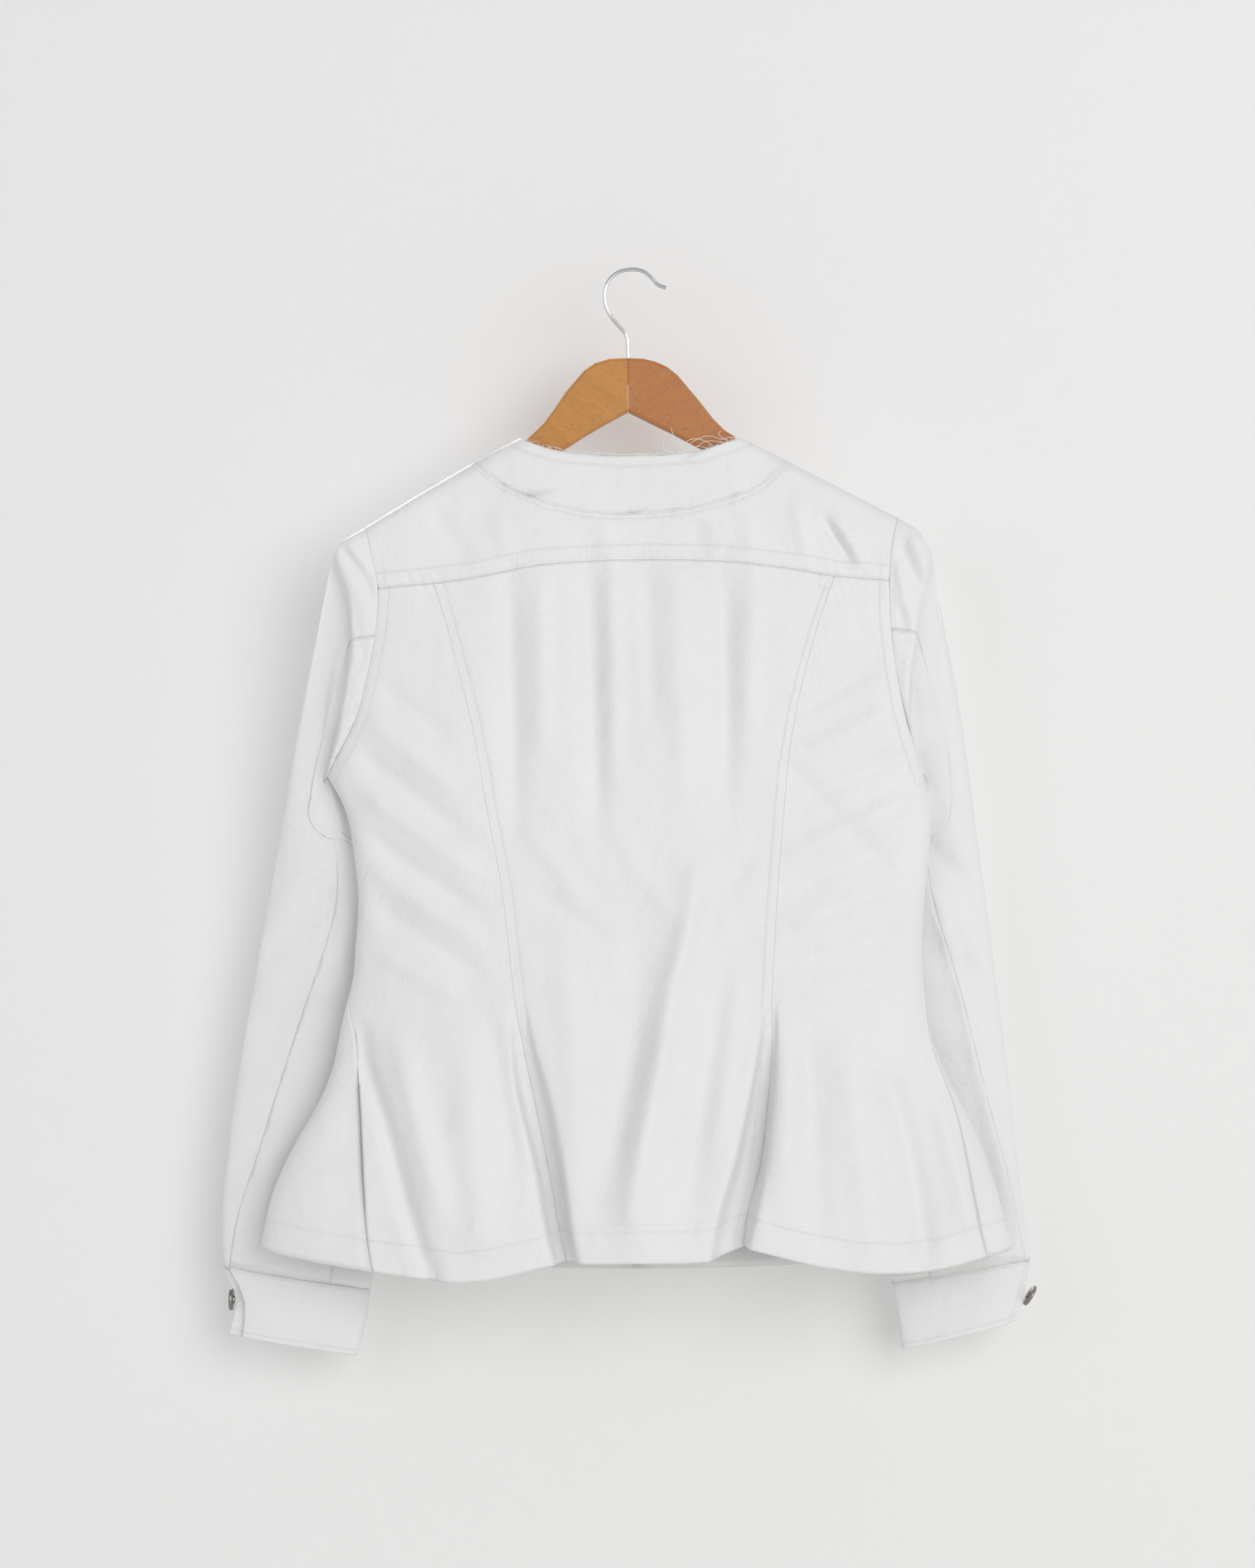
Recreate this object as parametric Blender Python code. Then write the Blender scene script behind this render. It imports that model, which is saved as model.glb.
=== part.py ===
"""A collarless jacket hanging on a wooden coat hanger, its back to the viewer.

Units are metres, +Z is up, the jacket's back faces -Y and its front faces +Y.
The origin is the underside of the hook's crown, where the hanger is held.
Each sewn piece is a wall of cloth of its own, 0.3 mm from its neighbours at the seams.
"""

import math

import bmesh
import bpy
from mathutils import Vector
from mathutils.kdtree import KDTree

for old in list(bpy.data.objects):
    bpy.data.objects.remove(old)

NAME = "collarless_jacket_on_hanger"

# Walls and gaps
CLOTH = 0.0013
DOUBLE_CLOTH = 0.0020
SEAM_GAP = 0.0003
WELD = 0.0002
SHARP_FOLD = 0.75
SHARP_FOLD_GAP = 0.0014

# Heights of the jacket's main lines at its side edges
SHOULDER_LEVEL = -0.1925
YOKE_LEVEL = -0.2380
UNDERARM_LEVEL = -0.3800
HEM_LEVEL = -0.7450

# How many faces each zone has
YOKE_ROWS = 7
ARMHOLE_ROWS = 8
SKIRT_ROWS = 17
SIDE_COLUMNS = 8
CENTRE_COLUMNS = 16
SHOULDER_COLUMNS = 4
FRONT_COLUMNS = 10
BAND_ROWS = 3
BACK_SEAM_ROW = 9

# Roundness of the folds at the sides, and of the roll over the hanger's arms
SIDE_POWER = 0.8
SIDE_BLEND = 0.040
SHOULDER_ROLL = 0.0100
ROW_CROWDING = 1.9
NECK_CROWDING = 0.14
FRONT_NECK_CROWDING = 2.2

BACK, FRONT = -1, 1

# Outline seen from behind: level, x of the left edge, x of the right edge.
# Down to the underarm these are the armholes, below it the folds at the sides.
OUTLINE = (
    (-0.1925, -0.2012, 0.1990),
    (-0.2134, -0.1957, 0.1934),
    (-0.2422, -0.1903, 0.1915),
    (-0.2682, -0.1922, 0.1925),
    (-0.3014, -0.1982, 0.1963),
    (-0.3280, -0.2047, 0.2018),
    (-0.3513, -0.2139, 0.2080),
    (-0.3800, -0.2302, 0.2183),
    (-0.3926, -0.2200, 0.2232),
    (-0.4111, -0.2139, 0.2253),
    (-0.4425, -0.2096, 0.2228),
    (-0.4740, -0.2062, 0.2196),
    (-0.5110, -0.2095, 0.2182),
    (-0.5311, -0.2100, 0.2188),
    (-0.5600, -0.2199, 0.2220),
    (-0.6011, -0.2270, 0.2345),
    (-0.6326, -0.2416, 0.2515),
    (-0.6641, -0.2590, 0.2655),
    (-0.7010, -0.2745, 0.2768),
    (-0.7450, -0.2829, 0.2872),
)

# Side seams, which leave the fold below the waist: level, x left, x right
SIDE_SEAMS = (
    (-0.5283, -0.2085, 0.2188),
    (-0.5772, -0.2069, 0.2230),
    (-0.6272, -0.2036, 0.2416),
    (-0.6733, -0.2009, 0.2505),
    (-0.7233, -0.1977, 0.2590),
    (-0.7450, -0.1938, 0.2644),
)

# Princess seams, from the yoke to the hem: level, x left, x right
PRINCESS_SEAMS = (
    (-0.2380, -0.1493, 0.1510),
    (-0.2650, -0.1406, 0.1412),
    (-0.3030, -0.1309, 0.1302),
    (-0.3345, -0.1227, 0.1226),
    (-0.3714, -0.1151, 0.1163),
    (-0.4050, -0.1098, 0.1130),
    (-0.4409, -0.1026, 0.1102),
    (-0.4740, -0.0967, 0.1075),
    (-0.5044, -0.0934, 0.1058),
    (-0.5549, -0.0874, 0.1032),
    (-0.5930, -0.0800, 0.1040),
    (-0.6330, -0.0716, 0.1005),
    (-0.6831, -0.0614, 0.0950),
    (-0.7195, -0.0554, 0.0850),
    (-0.7450, -0.0494, 0.0828),
)

# The two pleats, open below the waist: level, depth of the tuck,
# then the x of the side lobe's edge and of the centre panel's edge
LEFT_PLEAT = (
    (-0.5549, 0.000, -0.0904, -0.0844),
    (-0.5826, 0.009, -0.0898, -0.0745),
    (-0.6130, 0.016, -0.0860, -0.0650),
    (-0.6429, 0.020, -0.0785, -0.0586),
    (-0.6831, 0.022, -0.0690, -0.0516),
    (-0.7195, 0.023, -0.0636, -0.0472),
    (-0.7450, 0.022, -0.0570, -0.0413),
)
RIGHT_PLEAT = (
    (-0.5506, 0.000, 0.1062, 0.1002),
    (-0.5968, 0.013, 0.1060, 0.0925),
    (-0.6331, 0.019, 0.1028, 0.0860),
    (-0.6733, 0.023, 0.0985, 0.0770),
    (-0.7097, 0.024, 0.0915, 0.0650),
    (-0.7450, 0.024, 0.0846, 0.0590),
)
FLAT_STATIONS = (0.0, 0.004, 0.009, 0.018)
LOBE_STATION = 0.010
TUCK_SHARES = (1.0, 0.85, 0.0, 0.0)

# Heights of the shoulder line, yoke seam and hems: x, z.
# Between the neck points the shoulder line goes on along the hanger.
SHOULDER_LINE = (
    (-0.2012, -0.1925),
    (-0.1434, -0.1575),
    (-0.0854, -0.1259),
    (-0.0793, -0.1235),
    (-0.0673, -0.1120),
    (-0.0508, -0.0886),
    (-0.0369, -0.0723),
    (-0.0038, -0.0631),
    (0.0255, -0.0696),
    (0.0418, -0.0848),
    (0.0603, -0.1087),
    (0.0766, -0.1223),
    (0.0822, -0.1253),
    (0.1412, -0.1556),
    (0.1990, -0.1852),
)
YOKE_SEAM = (
    (-0.1906, -0.2395),
    (-0.1499, -0.2357),
    (-0.1086, -0.2297),
    (-0.0760, -0.2221),
    (-0.0271, -0.2188),
    (0.0163, -0.2177),
    (0.0641, -0.2188),
    (0.1222, -0.2253),
    (0.1504, -0.2302),
    (0.1911, -0.2335),
)
FRONT_TOP = (
    (-0.1906, -0.2395),
    (-0.1200, -0.2600),
    (-0.0600, -0.2950),
    (0.0000, -0.3100),
    (0.0600, -0.2950),
    (0.1200, -0.2600),
    (0.1911, -0.2335),
)
BACK_HEM = (
    (-0.2829, -0.7352),
    (-0.2563, -0.7390),
    (-0.2378, -0.7428),
    (-0.1938, -0.7488),
    (-0.1586, -0.7530),
    (-0.1265, -0.7567),
    (-0.0945, -0.7515),
    (-0.0570, -0.7425),
    (-0.0060, -0.7412),
    (0.0445, -0.7407),
    (0.0740, -0.7370),
    (0.0842, -0.7310),
    (0.1151, -0.7396),
    (0.1591, -0.7483),
    (0.1955, -0.7510),
    (0.2297, -0.7488),
    (0.2552, -0.7406),
    (0.2872, -0.7352),
)
FRONT_HEM = (
    (-0.2829, -0.7352),
    (-0.2000, -0.7440),
    (-0.1000, -0.7520),
    (0.0000, -0.7540),
    (0.1000, -0.7520),
    (0.2000, -0.7440),
    (0.2872, -0.7352),
)

# The neck band's two edges behind, and its left edges in front: x, z
BAND_RAW_EDGE = (
    (-0.0854, -0.1259),
    (-0.0728, -0.1319),
    (-0.0543, -0.1367),
    (-0.0087, -0.1401),
    (0.0225, -0.1390),
    (0.0510, -0.1363),
    (0.0679, -0.1306),
    (0.0822, -0.1253),
)
BAND_SEWN_EDGE = (
    (-0.1195, -0.1445),
    (-0.0983, -0.1624),
    (-0.0657, -0.1767),
    (-0.0342, -0.1835),
    (0.0054, -0.1849),
    (0.0440, -0.1803),
    (0.0750, -0.1722),
    (0.0956, -0.1629),
    (0.1162, -0.1428),
)
FRONT_RAW_EDGE = (
    (-0.0854, -0.1259),
    (-0.0800, -0.1560),
    (-0.0640, -0.1900),
    (-0.0360, -0.2150),
    (0.0000, -0.2240),
)
FRONT_SEWN_EDGE = (
    (-0.1195, -0.1445),
    (-0.1150, -0.1820),
    (-0.0920, -0.2220),
    (-0.0520, -0.2540),
    (0.0000, -0.2650),
)
BAND_CORNERS = (-0.1195, 0.1162)
NECK_POINTS = (-0.0854, 0.0822)

# Depth of the garment from its middle plane: z, at the side edges, at the middle
BACK_DEPTH = (
    (-0.120, 0.0120, 0.0120),
    (-0.190, 0.0125, 0.0125),
    (-0.238, 0.0145, 0.0170),
    (-0.300, 0.0150, 0.0210),
    (-0.340, 0.0125, 0.0235),
    (-0.360, 0.0090, 0.0245),
    (-0.380, 0.0000, 0.0250),
    (-0.400, 0.0000, 0.0255),
    (-0.470, 0.0000, 0.0265),
    (-0.550, 0.0000, 0.0290),
    (-0.620, 0.0000, 0.0370),
    (-0.700, 0.0000, 0.0440),
    (-0.760, 0.0000, 0.0470),
)
FRONT_DEPTH = (
    (-0.120, 0.0110, 0.0110),
    (-0.190, 0.0115, 0.0115),
    (-0.238, 0.0120, 0.0140),
    (-0.300, 0.0120, 0.0160),
    (-0.340, 0.0100, 0.0165),
    (-0.360, 0.0070, 0.0170),
    (-0.380, 0.0000, 0.0170),
    (-0.400, 0.0000, 0.0170),
    (-0.470, 0.0000, 0.0180),
    (-0.550, 0.0000, 0.0190),
    (-0.620, 0.0000, 0.0205),
    (-0.700, 0.0000, 0.0225),
    (-0.760, 0.0000, 0.0235),
)

# Largest folds of the back: x and z of the upper end, x and z of the lower end,
# half width, height (negative for a trough)
BACK_FOLDS = (
    (-0.1920, -0.5650, -0.1400, -0.7700, 0.016, 0.0060),
    (-0.2080, -0.5800, -0.1720, -0.7700, 0.014, -0.0060),
    (-0.1250, -0.5700, -0.0980, -0.7500, 0.020, 0.0040),
    (0.0460, -0.4500, -0.0030, -0.7300, 0.017, 0.0065),
    (0.0190, -0.4900, -0.0420, -0.7200, 0.018, -0.0050),
    (0.0760, -0.5200, 0.0380, -0.7100, 0.018, -0.0030),
    (0.1300, -0.5700, 0.1450, -0.7500, 0.024, 0.0050),
    (0.1870, -0.6000, 0.2170, -0.7600, 0.016, -0.0050),
    (-0.0920, -0.2350, -0.0840, -0.4150, 0.013, -0.0025),
    (-0.0590, -0.2350, -0.0540, -0.3700, 0.013, 0.0020),
    (-0.0280, -0.2300, -0.0240, -0.3870, 0.013, -0.0030),
    (0.0190, -0.2250, 0.0240, -0.3450, 0.016, 0.0025),
    (0.0690, -0.2300, 0.0700, -0.3760, 0.013, -0.0025),
    (-0.2050, -0.4250, -0.1250, -0.4740, 0.012, 0.0025),
    (-0.2000, -0.4550, -0.1200, -0.5120, 0.012, -0.0025),
    (0.1200, -0.3930, 0.2000, -0.4850, 0.012, -0.0025),
    (0.1380, -0.4700, 0.2050, -0.4100, 0.012, 0.0020),
)

# Strip of the sleeve that faces the viewer beside the armhole: z, left width, right width
SLEEVE_STRIP = (
    (-0.1925, 0.0160, 0.0171),
    (-0.2050, 0.0250, 0.0300),
    (-0.2156, 0.0279, 0.0310),
    (-0.2416, 0.0231, 0.0250),
    (-0.2672, 0.0197, 0.0205),
    (-0.2916, 0.0166, 0.0145),
    (-0.3193, 0.0149, 0.0060),
    (-0.3400, 0.0100, 0.0025),
    (-0.3540, 0.0065, 0.0020),
    (-0.3698, 0.0025, 0.0018),
    (-0.3800, 0.0015, 0.0015),
)
FRONT_STRIP = (
    (-0.1925, 0.0160, 0.0171),
    (-0.2150, 0.0180, 0.0180),
    (-0.2500, 0.0140, 0.0140),
    (-0.3000, 0.0100, 0.0100),
    (-0.3500, 0.0050, 0.0050),
    (-0.3800, 0.0015, 0.0015),
)

# Sleeve sections below the underarm, from behind: z at the outer edge, x outer,
# x inner, fall of the inner edge, y of the middle, half depth,
# angles of the back seam and of the inner seam round the section
LEFT_SLEEVE = (
    (-0.4300, -0.2702, -0.2060, 0.000, 0.0250, 0.0120, 2.00, 2.85),
    (-0.4500, -0.2741, -0.1960, 0.000, 0.0285, 0.0128, 1.87, 2.75),
    (-0.4800, -0.2800, -0.1780, 0.000, 0.0315, 0.0135, 1.66, 2.60),
    (-0.5200, -0.2871, -0.1650, 0.000, 0.0340, 0.0140, 1.40, 2.45),
    (-0.5600, -0.2941, -0.1580, 0.000, 0.0340, 0.0140, 1.19, 2.33),
    (-0.6000, -0.3007, -0.1600, 0.002, 0.0340, 0.0135, 1.07, 2.23),
    (-0.6400, -0.3062, -0.1680, 0.005, 0.0335, 0.0130, 0.95, 2.15),
    (-0.6800, -0.3106, -0.1780, 0.009, 0.0330, 0.0125, 0.82, 2.08),
    (-0.7150, -0.3137, -0.1870, 0.013, 0.0325, 0.0115, 0.60, 2.05),
    (-0.7535, -0.3120, -0.1990, 0.017, 0.0320, 0.0105, 0.42, 2.03),
)
RIGHT_SLEEVE = (
    (-0.4300, 0.2622, 0.2045, 0.000, 0.0250, 0.0120, 1.95, 2.85),
    (-0.4500, 0.2653, 0.1960, 0.000, 0.0285, 0.0128, 1.80, 2.75),
    (-0.4800, 0.2700, 0.1780, 0.000, 0.0315, 0.0135, 1.49, 2.60),
    (-0.5200, 0.2752, 0.1640, 0.000, 0.0340, 0.0140, 1.15, 2.45),
    (-0.5600, 0.2800, 0.1590, 0.000, 0.0340, 0.0140, 0.98, 2.33),
    (-0.6000, 0.2855, 0.1620, 0.002, 0.0340, 0.0135, 0.88, 2.23),
    (-0.6400, 0.2898, 0.1700, 0.005, 0.0335, 0.0130, 0.76, 2.15),
    (-0.6800, 0.2940, 0.1790, 0.009, 0.0330, 0.0125, 0.58, 2.08),
    (-0.7150, 0.2980, 0.1870, 0.013, 0.0325, 0.0115, 0.44, 2.05),
    (-0.7480, 0.3030, 0.1960, 0.017, 0.0320, 0.0105, 0.40, 2.03),
)
SLEEVE_BLEND_ROWS = 4
SLEEVE_ROUNDNESS = 0.7

# Below the armhole the sleeve hangs out from the body: how far behind and in front,
# and from which share of the way to the underarm this starts
UNDERARM_BOW_BEHIND = 0.028
UNDERARM_BOW_BEFORE = -0.007
UNDERARM_BOW_START = 0.35
SLEEVE_HEAD_BOW = 0.004

# Cuff sections: z outer, x outer, x inner, fall of the inner edge, angle of the open end
LEFT_CUFF = (
    (-0.7535, -0.3120, -0.1990, 0.017, 0.42),
    (-0.7790, -0.3020, -0.2020, 0.017, 0.55),
    (-0.8047, -0.3079, -0.2093, 0.016, 0.68),
)
RIGHT_CUFF = (
    (-0.7480, 0.3030, 0.1960, 0.017, 0.40),
    (-0.7760, 0.2985, 0.2010, 0.019, 0.55),
    (-0.7944, 0.2932, 0.2047, 0.022, 0.64),
)
CUFF_ROWS = 4
CUFF_Y = 0.0320
CUFF_HALF_DEPTH = 0.0105
CUFF_TUCK = 0.0027

# Front closing and buttons
PLACKET_HALF_WIDTH = 0.0225
PLACKET_COLUMNS = 2
PLACKET_BUTTONS = 6
BUTTON_RADIUS = 0.0085
BUTTON_THICKNESS = 0.0028
SHANK_RADIUS = 0.0035
SHANK_LENGTH = 0.0012
BUTTON_SIDES = 12

# Hanger: the upper and lower edges of each arm, from the joint outwards: x, z
ARM_HALF_THICKNESS = 0.0060
ARM_EDGE_RADIUS = 0.0025
ARM_JOINT_X = -0.0037
# How far the arm's top lies under the shoulder line: distance from the middle, depth
ARM_UNDER_CLOTH = ((0.0845, 0.0042), (0.1120, 0.0038), (0.1300, 0.0030), (0.1830, 0.0027))
LEFT_ARM_TOP = (
    (-0.0174, -0.0662),
    (-0.0288, -0.0695),
    (-0.0369, -0.0749),
    (-0.0508, -0.0912),
    (-0.0592, -0.1037),
    (-0.0673, -0.1146),
    (-0.0793, -0.1262),
)
RIGHT_ARM_TOP = (
    (0.0076, -0.0662),
    (0.0171, -0.0684),
    (0.0255, -0.0722),
    (0.0337, -0.0787),
    (0.0505, -0.0988),
    (0.0603, -0.1113),
    (0.0684, -0.1195),
    (0.0766, -0.1249),
)
JOINT_TOP = -0.0657
JOINT_BOTTOM = -0.1064
LEFT_ARM_BOTTOM = ((-0.0201, -0.1151), (-0.0369, -0.1249), (-0.0527, -0.1352), (-0.1100, -0.1720))
RIGHT_ARM_BOTTOM = ((0.0130, -0.1146), (0.0296, -0.1227), (0.0532, -0.1352), (0.1060, -0.1690))
ARM_TIP_X = 0.1830
ARM_TIP_DEPTH = 0.0250

WIRE_RADIUS = 0.0015
WIRE_HOLE_RADIUS = 0.0018
WIRE_HOLE_DEPTH = 0.0200
HOOK_ROUTE = (
    (0.0248, -0.0125),
    (0.0185, -0.0100),
    (0.0143, -0.0052),
    (0.0074, 0.0001),
    (0.0000, 0.0015),
    (-0.0092, 0.0001),
    (-0.0168, -0.0052),
    (-0.0206, -0.0121),
    (-0.0214, -0.0190),
    (-0.0203, -0.0260),
    (-0.0168, -0.0336),
    (-0.0106, -0.0412),
    (-0.0058, -0.0467),
    (-0.0040, -0.0523),
    (-0.0037, -0.0654),
)
HOOK_STEPS = 3

CLOTH_COLOUR = (0.82, 0.82, 0.82)
METAL_COLOUR = (0.36, 0.35, 0.34)
WIRE_COLOUR = (0.62, 0.62, 0.63)
LEFT_WOOD_COLOUR = (0.50, 0.22, 0.05)
RIGHT_WOOD_COLOUR = (0.43, 0.17, 0.04)


def lerp(a, b, share):
    return a + (b - a) * share


def read(rows, key, column=1):
    """Value of a column at key, on a smooth line through the rows of a table."""
    if rows[0][0] > rows[-1][0]:
        rows = rows[::-1]
    key = min(max(key, rows[0][0]), rows[-1][0])
    last = len(rows) - 1
    i = next(n for n in range(1, last + 1) if key <= rows[n][0])
    x0, x1 = rows[i - 1][0], rows[i][0]
    y0, y1 = rows[i - 1][column], rows[i][column]
    chord = (y1 - y0) / (x1 - x0)

    def slope(n):
        if n in (0, last):
            return chord
        before = (rows[n][column] - rows[n - 1][column]) / (rows[n][0] - rows[n - 1][0])
        after = (rows[n + 1][column] - rows[n][column]) / (rows[n + 1][0] - rows[n][0])
        return 0.0 if before * after <= 0 else 2 * before * after / (before + after)

    span = x1 - x0
    t = (key - x0) / span
    tail = (t ** 3 - 2 * t ** 2 + t) * span * slope(i - 1) + (t ** 3 - t ** 2) * span * slope(i)
    return y0 + (3 * t ** 2 - 2 * t ** 3) * (y1 - y0) + tail


def along(points, share):
    """Point at a share of the length of a smooth curve through (x, z) points."""
    steps = [0.0]
    for a, b in zip(points, points[1:]):
        steps.append(steps[-1] + math.dist(a, b))
    rows = [(s / steps[-1], *p) for s, p in zip(steps, points)]
    return read(rows, share, 1), read(rows, share, 2)


def smoothstep(t):
    t = min(max(t, 0.0), 1.0)
    return t * t * (3 - 2 * t)


def fold_height(x, z):
    """How far the folds lift the back towards the viewer at a place."""
    total = 0.0
    for x0, z0, x1, z1, half_width, height in BACK_FOLDS:
        length = math.hypot(x1 - x0, z1 - z0)
        ux, uz = (x1 - x0) / length, (z1 - z0) / length
        run = ((x - x0) * ux + (z - z0) * uz) / length
        side = (x - x0) * uz - (z - z0) * ux
        ends = smoothstep((run + 0.15) / 0.4) * smoothstep((1.15 - run) / 0.4)
        total += height * ends * math.exp(-((side / half_width) ** 2))
    return total


# Body surfaces

def edges_at(level):
    return read(OUTLINE, level, 1), read(OUTLINE, level, 2)


def depth_at(level, x, z, face):
    """Distance of the body's cloth from the middle plane."""
    left, right = edges_at(level)
    offset = (x - (left + right) / 2) / ((right - left) / 2)
    bulge = max(0.0, 1 - offset ** 2) ** (SIDE_POWER / 2)
    table = BACK_DEPTH if face == BACK else FRONT_DEPTH
    edge = read(table, level, 1) if level > UNDERARM_LEVEL else 0.0
    depth = edge + (max(read(table, z, 2), edge) - edge) * bulge
    if face == BACK:
        depth += fold_height(x, z) * bulge
    drop = min(max((read(SHOULDER_LINE, x) - z) / SHOULDER_ROLL, 0.0), 1.0)
    return depth * math.sqrt(max(0.0, 1 - (1 - drop) ** 2))


def height_at(level, x, face):
    """Height of a row of the body, which follows the yoke seam above and the hem below."""
    down = (YOKE_LEVEL - level) / (YOKE_LEVEL - HEM_LEVEL)
    top, hem = read(YOKE_SEAM, x), read(BACK_HEM, x)
    if face == FRONT:
        left, right = edges_at(level)
        inward = smoothstep(min(x - left, right - x) / SIDE_BLEND)
        top = lerp(top, read(FRONT_TOP, x), inward)
        hem = lerp(hem, read(FRONT_HEM, x), inward)
    return level + (top - YOKE_LEVEL) * (1 - down) ** 2 + (hem - HEM_LEVEL) * down ** 4


def body_point(level, x, face, tuck=0.0):
    z = height_at(level, x, face)
    return Vector((x, face * depth_at(level, x, z, face) + tuck, z))


def ring_point(level, angle, face):
    """Point of the body's section, its angle 0 at the right edge and pi at the left."""
    left, right = edges_at(level)
    return body_point(level, (left + right) / 2 + (right - left) / 2 * math.cos(angle), face)


def ring_angle(level, x):
    left, right = edges_at(level)
    return math.acos(min(max((x - (left + right) / 2) / ((right - left) / 2), -1.0), 1.0))


def body_levels():
    upper = [lerp(YOKE_LEVEL, UNDERARM_LEVEL, i / ARMHOLE_ROWS) for i in range(ARMHOLE_ROWS)]
    return upper + [lerp(UNDERARM_LEVEL, HEM_LEVEL, i / SKIRT_ROWS) for i in range(SKIRT_ROWS + 1)]


def yoke_share(row):
    return (row / YOKE_ROWS) ** ROW_CROWDING


def neck_share(column):
    """Share of the back neck's length at a column: the columns crowd at the two shoulders."""
    share = column / CENTRE_COLUMNS
    return share - NECK_CROWDING * math.sin(2 * math.pi * share)


def front_neck_share(column):
    return (column / (FRONT_COLUMNS - SHOULDER_COLUMNS)) ** FRONT_NECK_CROWDING


def side_seam_angle(level, side):
    """How far the side seam lies from the fold at the side, round the section."""
    if level >= SIDE_SEAMS[0][0]:
        return 0.0
    x = read(SIDE_SEAMS, level, 1 if side < 0 else 2)
    angle = ring_angle(level, x)
    shift = math.pi - angle if side < 0 else angle
    return shift * smoothstep((SIDE_SEAMS[0][0] - level) / 0.05)


def pleat_stations(level, side, inward):
    """x of the seam and of the three columns beside it, with the tuck at each."""
    table = LEFT_PLEAT if side < 0 else RIGHT_PLEAT
    seam = read(PRINCESS_SEAMS, level, 1 if side < 0 else 2)
    direction = -side if inward else side
    flat = [seam + direction * step for step in FLAT_STATIONS]
    if level >= table[0][0]:
        return [(x, 0.0) for x in flat]
    depth = read(table, level, 1)
    edge = read(table, level, 3 if inward else 2)
    wide = [seam, lerp(edge, seam, 0.12), edge, edge + direction * LOBE_STATION]
    opened = smoothstep((table[0][0] - level) / 0.035)
    return [
        (lerp(a, b, opened), depth * share)
        for a, b, share in zip(flat, wide, TUCK_SHARES)
    ]


def side_panel():
    """Rows of a side panel of the back, one list for each side."""
    grids = {}
    for side in (-1, 1):
        rows = []
        for level in body_levels():
            stations = pleat_stations(level, side, inward=False)
            start = side_seam_angle(level, side)
            end = ring_angle(level, stations[-1][0])
            if side < 0:
                start = math.pi - start
            count = SIDE_COLUMNS - len(stations) + 1
            row = [ring_point(level, lerp(start, end, j / count), BACK) for j in range(count)]
            row += [body_point(level, x, BACK, tuck) for x, tuck in reversed(stations)]
            rows.append(row)
        grids[side] = rows
    return grids


def centre_panel():
    rows = []
    for level in body_levels():
        left = pleat_stations(level, -1, inward=True)
        right = pleat_stations(level, 1, inward=True)
        count = CENTRE_COLUMNS - 2 * (len(left) - 1)
        middle = [(lerp(left[-1][0], right[-1][0], j / count), 0.0) for j in range(1, count)]
        row = left + middle + right[::-1]
        rows.append([body_point(level, x, BACK, tuck) for x, tuck in row])
    return rows


def yoke(bottom):
    """Rows from the shoulders and the neck band down to the yoke seam."""
    count = len(bottom) - 1
    rows = []
    for i in range(YOKE_ROWS):
        share = yoke_share(i)
        level = lerp(SHOULDER_LEVEL, YOKE_LEVEL, share)
        left, right = edges_at(level)
        top_left, top_right = edges_at(SHOULDER_LEVEL)
        row = []
        for j in range(count + 1):
            if j < SIDE_COLUMNS:
                x = lerp(top_left, BAND_CORNERS[0], j / SIDE_COLUMNS)
                z = read(SHOULDER_LINE, x)
            elif j > count - SIDE_COLUMNS:
                x = lerp(top_right, BAND_CORNERS[1], (count - j) / SIDE_COLUMNS)
                z = read(SHOULDER_LINE, x)
            else:
                x, z = along(BAND_SEWN_EDGE, neck_share(j - SIDE_COLUMNS))
            end = bottom[j]
            z = lerp(z, end.z, share)
            bow_left = left - lerp(top_left, bottom[0].x, share)
            bow_right = right - lerp(top_right, bottom[-1].x, share)
            x = lerp(x, end.x, share)
            x += bow_left * max(0.0, 1 - j / SIDE_COLUMNS) ** 2
            x += bow_right * max(0.0, 1 - (count - j) / SIDE_COLUMNS) ** 2
            row.append(Vector((x, -depth_at(level, x, z, BACK), z)))
        rows.append(row)
    return rows + [list(bottom)]


def neck_band_back():
    rows = []
    for r in range(BAND_ROWS + 1):
        row = []
        for j in range(CENTRE_COLUMNS + 1):
            share = neck_share(j)
            x0, z0 = along(BAND_SEWN_EDGE, share)
            x1, z1 = along(BAND_RAW_EDGE, share)
            x, z = lerp(x1, x0, r / BAND_ROWS), lerp(z1, z0, r / BAND_ROWS)
            row.append(Vector((x, -depth_at(SHOULDER_LEVEL, x, z, BACK), z)))
        rows.append(row)
    return rows


def front_edge(points, share, side):
    """Point on a front neck edge, stretched a little to meet the back's edge at the shoulder."""
    x, z = along(points, share)
    if side < 0:
        return x, z
    corner = BAND_CORNERS[1] if points is FRONT_SEWN_EDGE else NECK_POINTS[1]
    back_edge = BAND_SEWN_EDGE if points is FRONT_SEWN_EDGE else BAND_RAW_EDGE
    return -x * corner / -points[0][0], z + (back_edge[-1][1] - points[0][1]) * (1 - share) ** 3


def neck_band_front(side):
    rows = []
    for r in range(BAND_ROWS + 1):
        row = []
        for j in range(FRONT_COLUMNS - SHOULDER_COLUMNS + 1):
            share = front_neck_share(j)
            x0, z0 = front_edge(FRONT_SEWN_EDGE, share, side)
            x1, z1 = front_edge(FRONT_RAW_EDGE, share, side)
            x, z = lerp(x1, x0, r / BAND_ROWS), lerp(z1, z0, r / BAND_ROWS)
            row.append(Vector((x, depth_at(SHOULDER_LEVEL, x, z, FRONT), z)))
        rows.append(row)
    return rows


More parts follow.
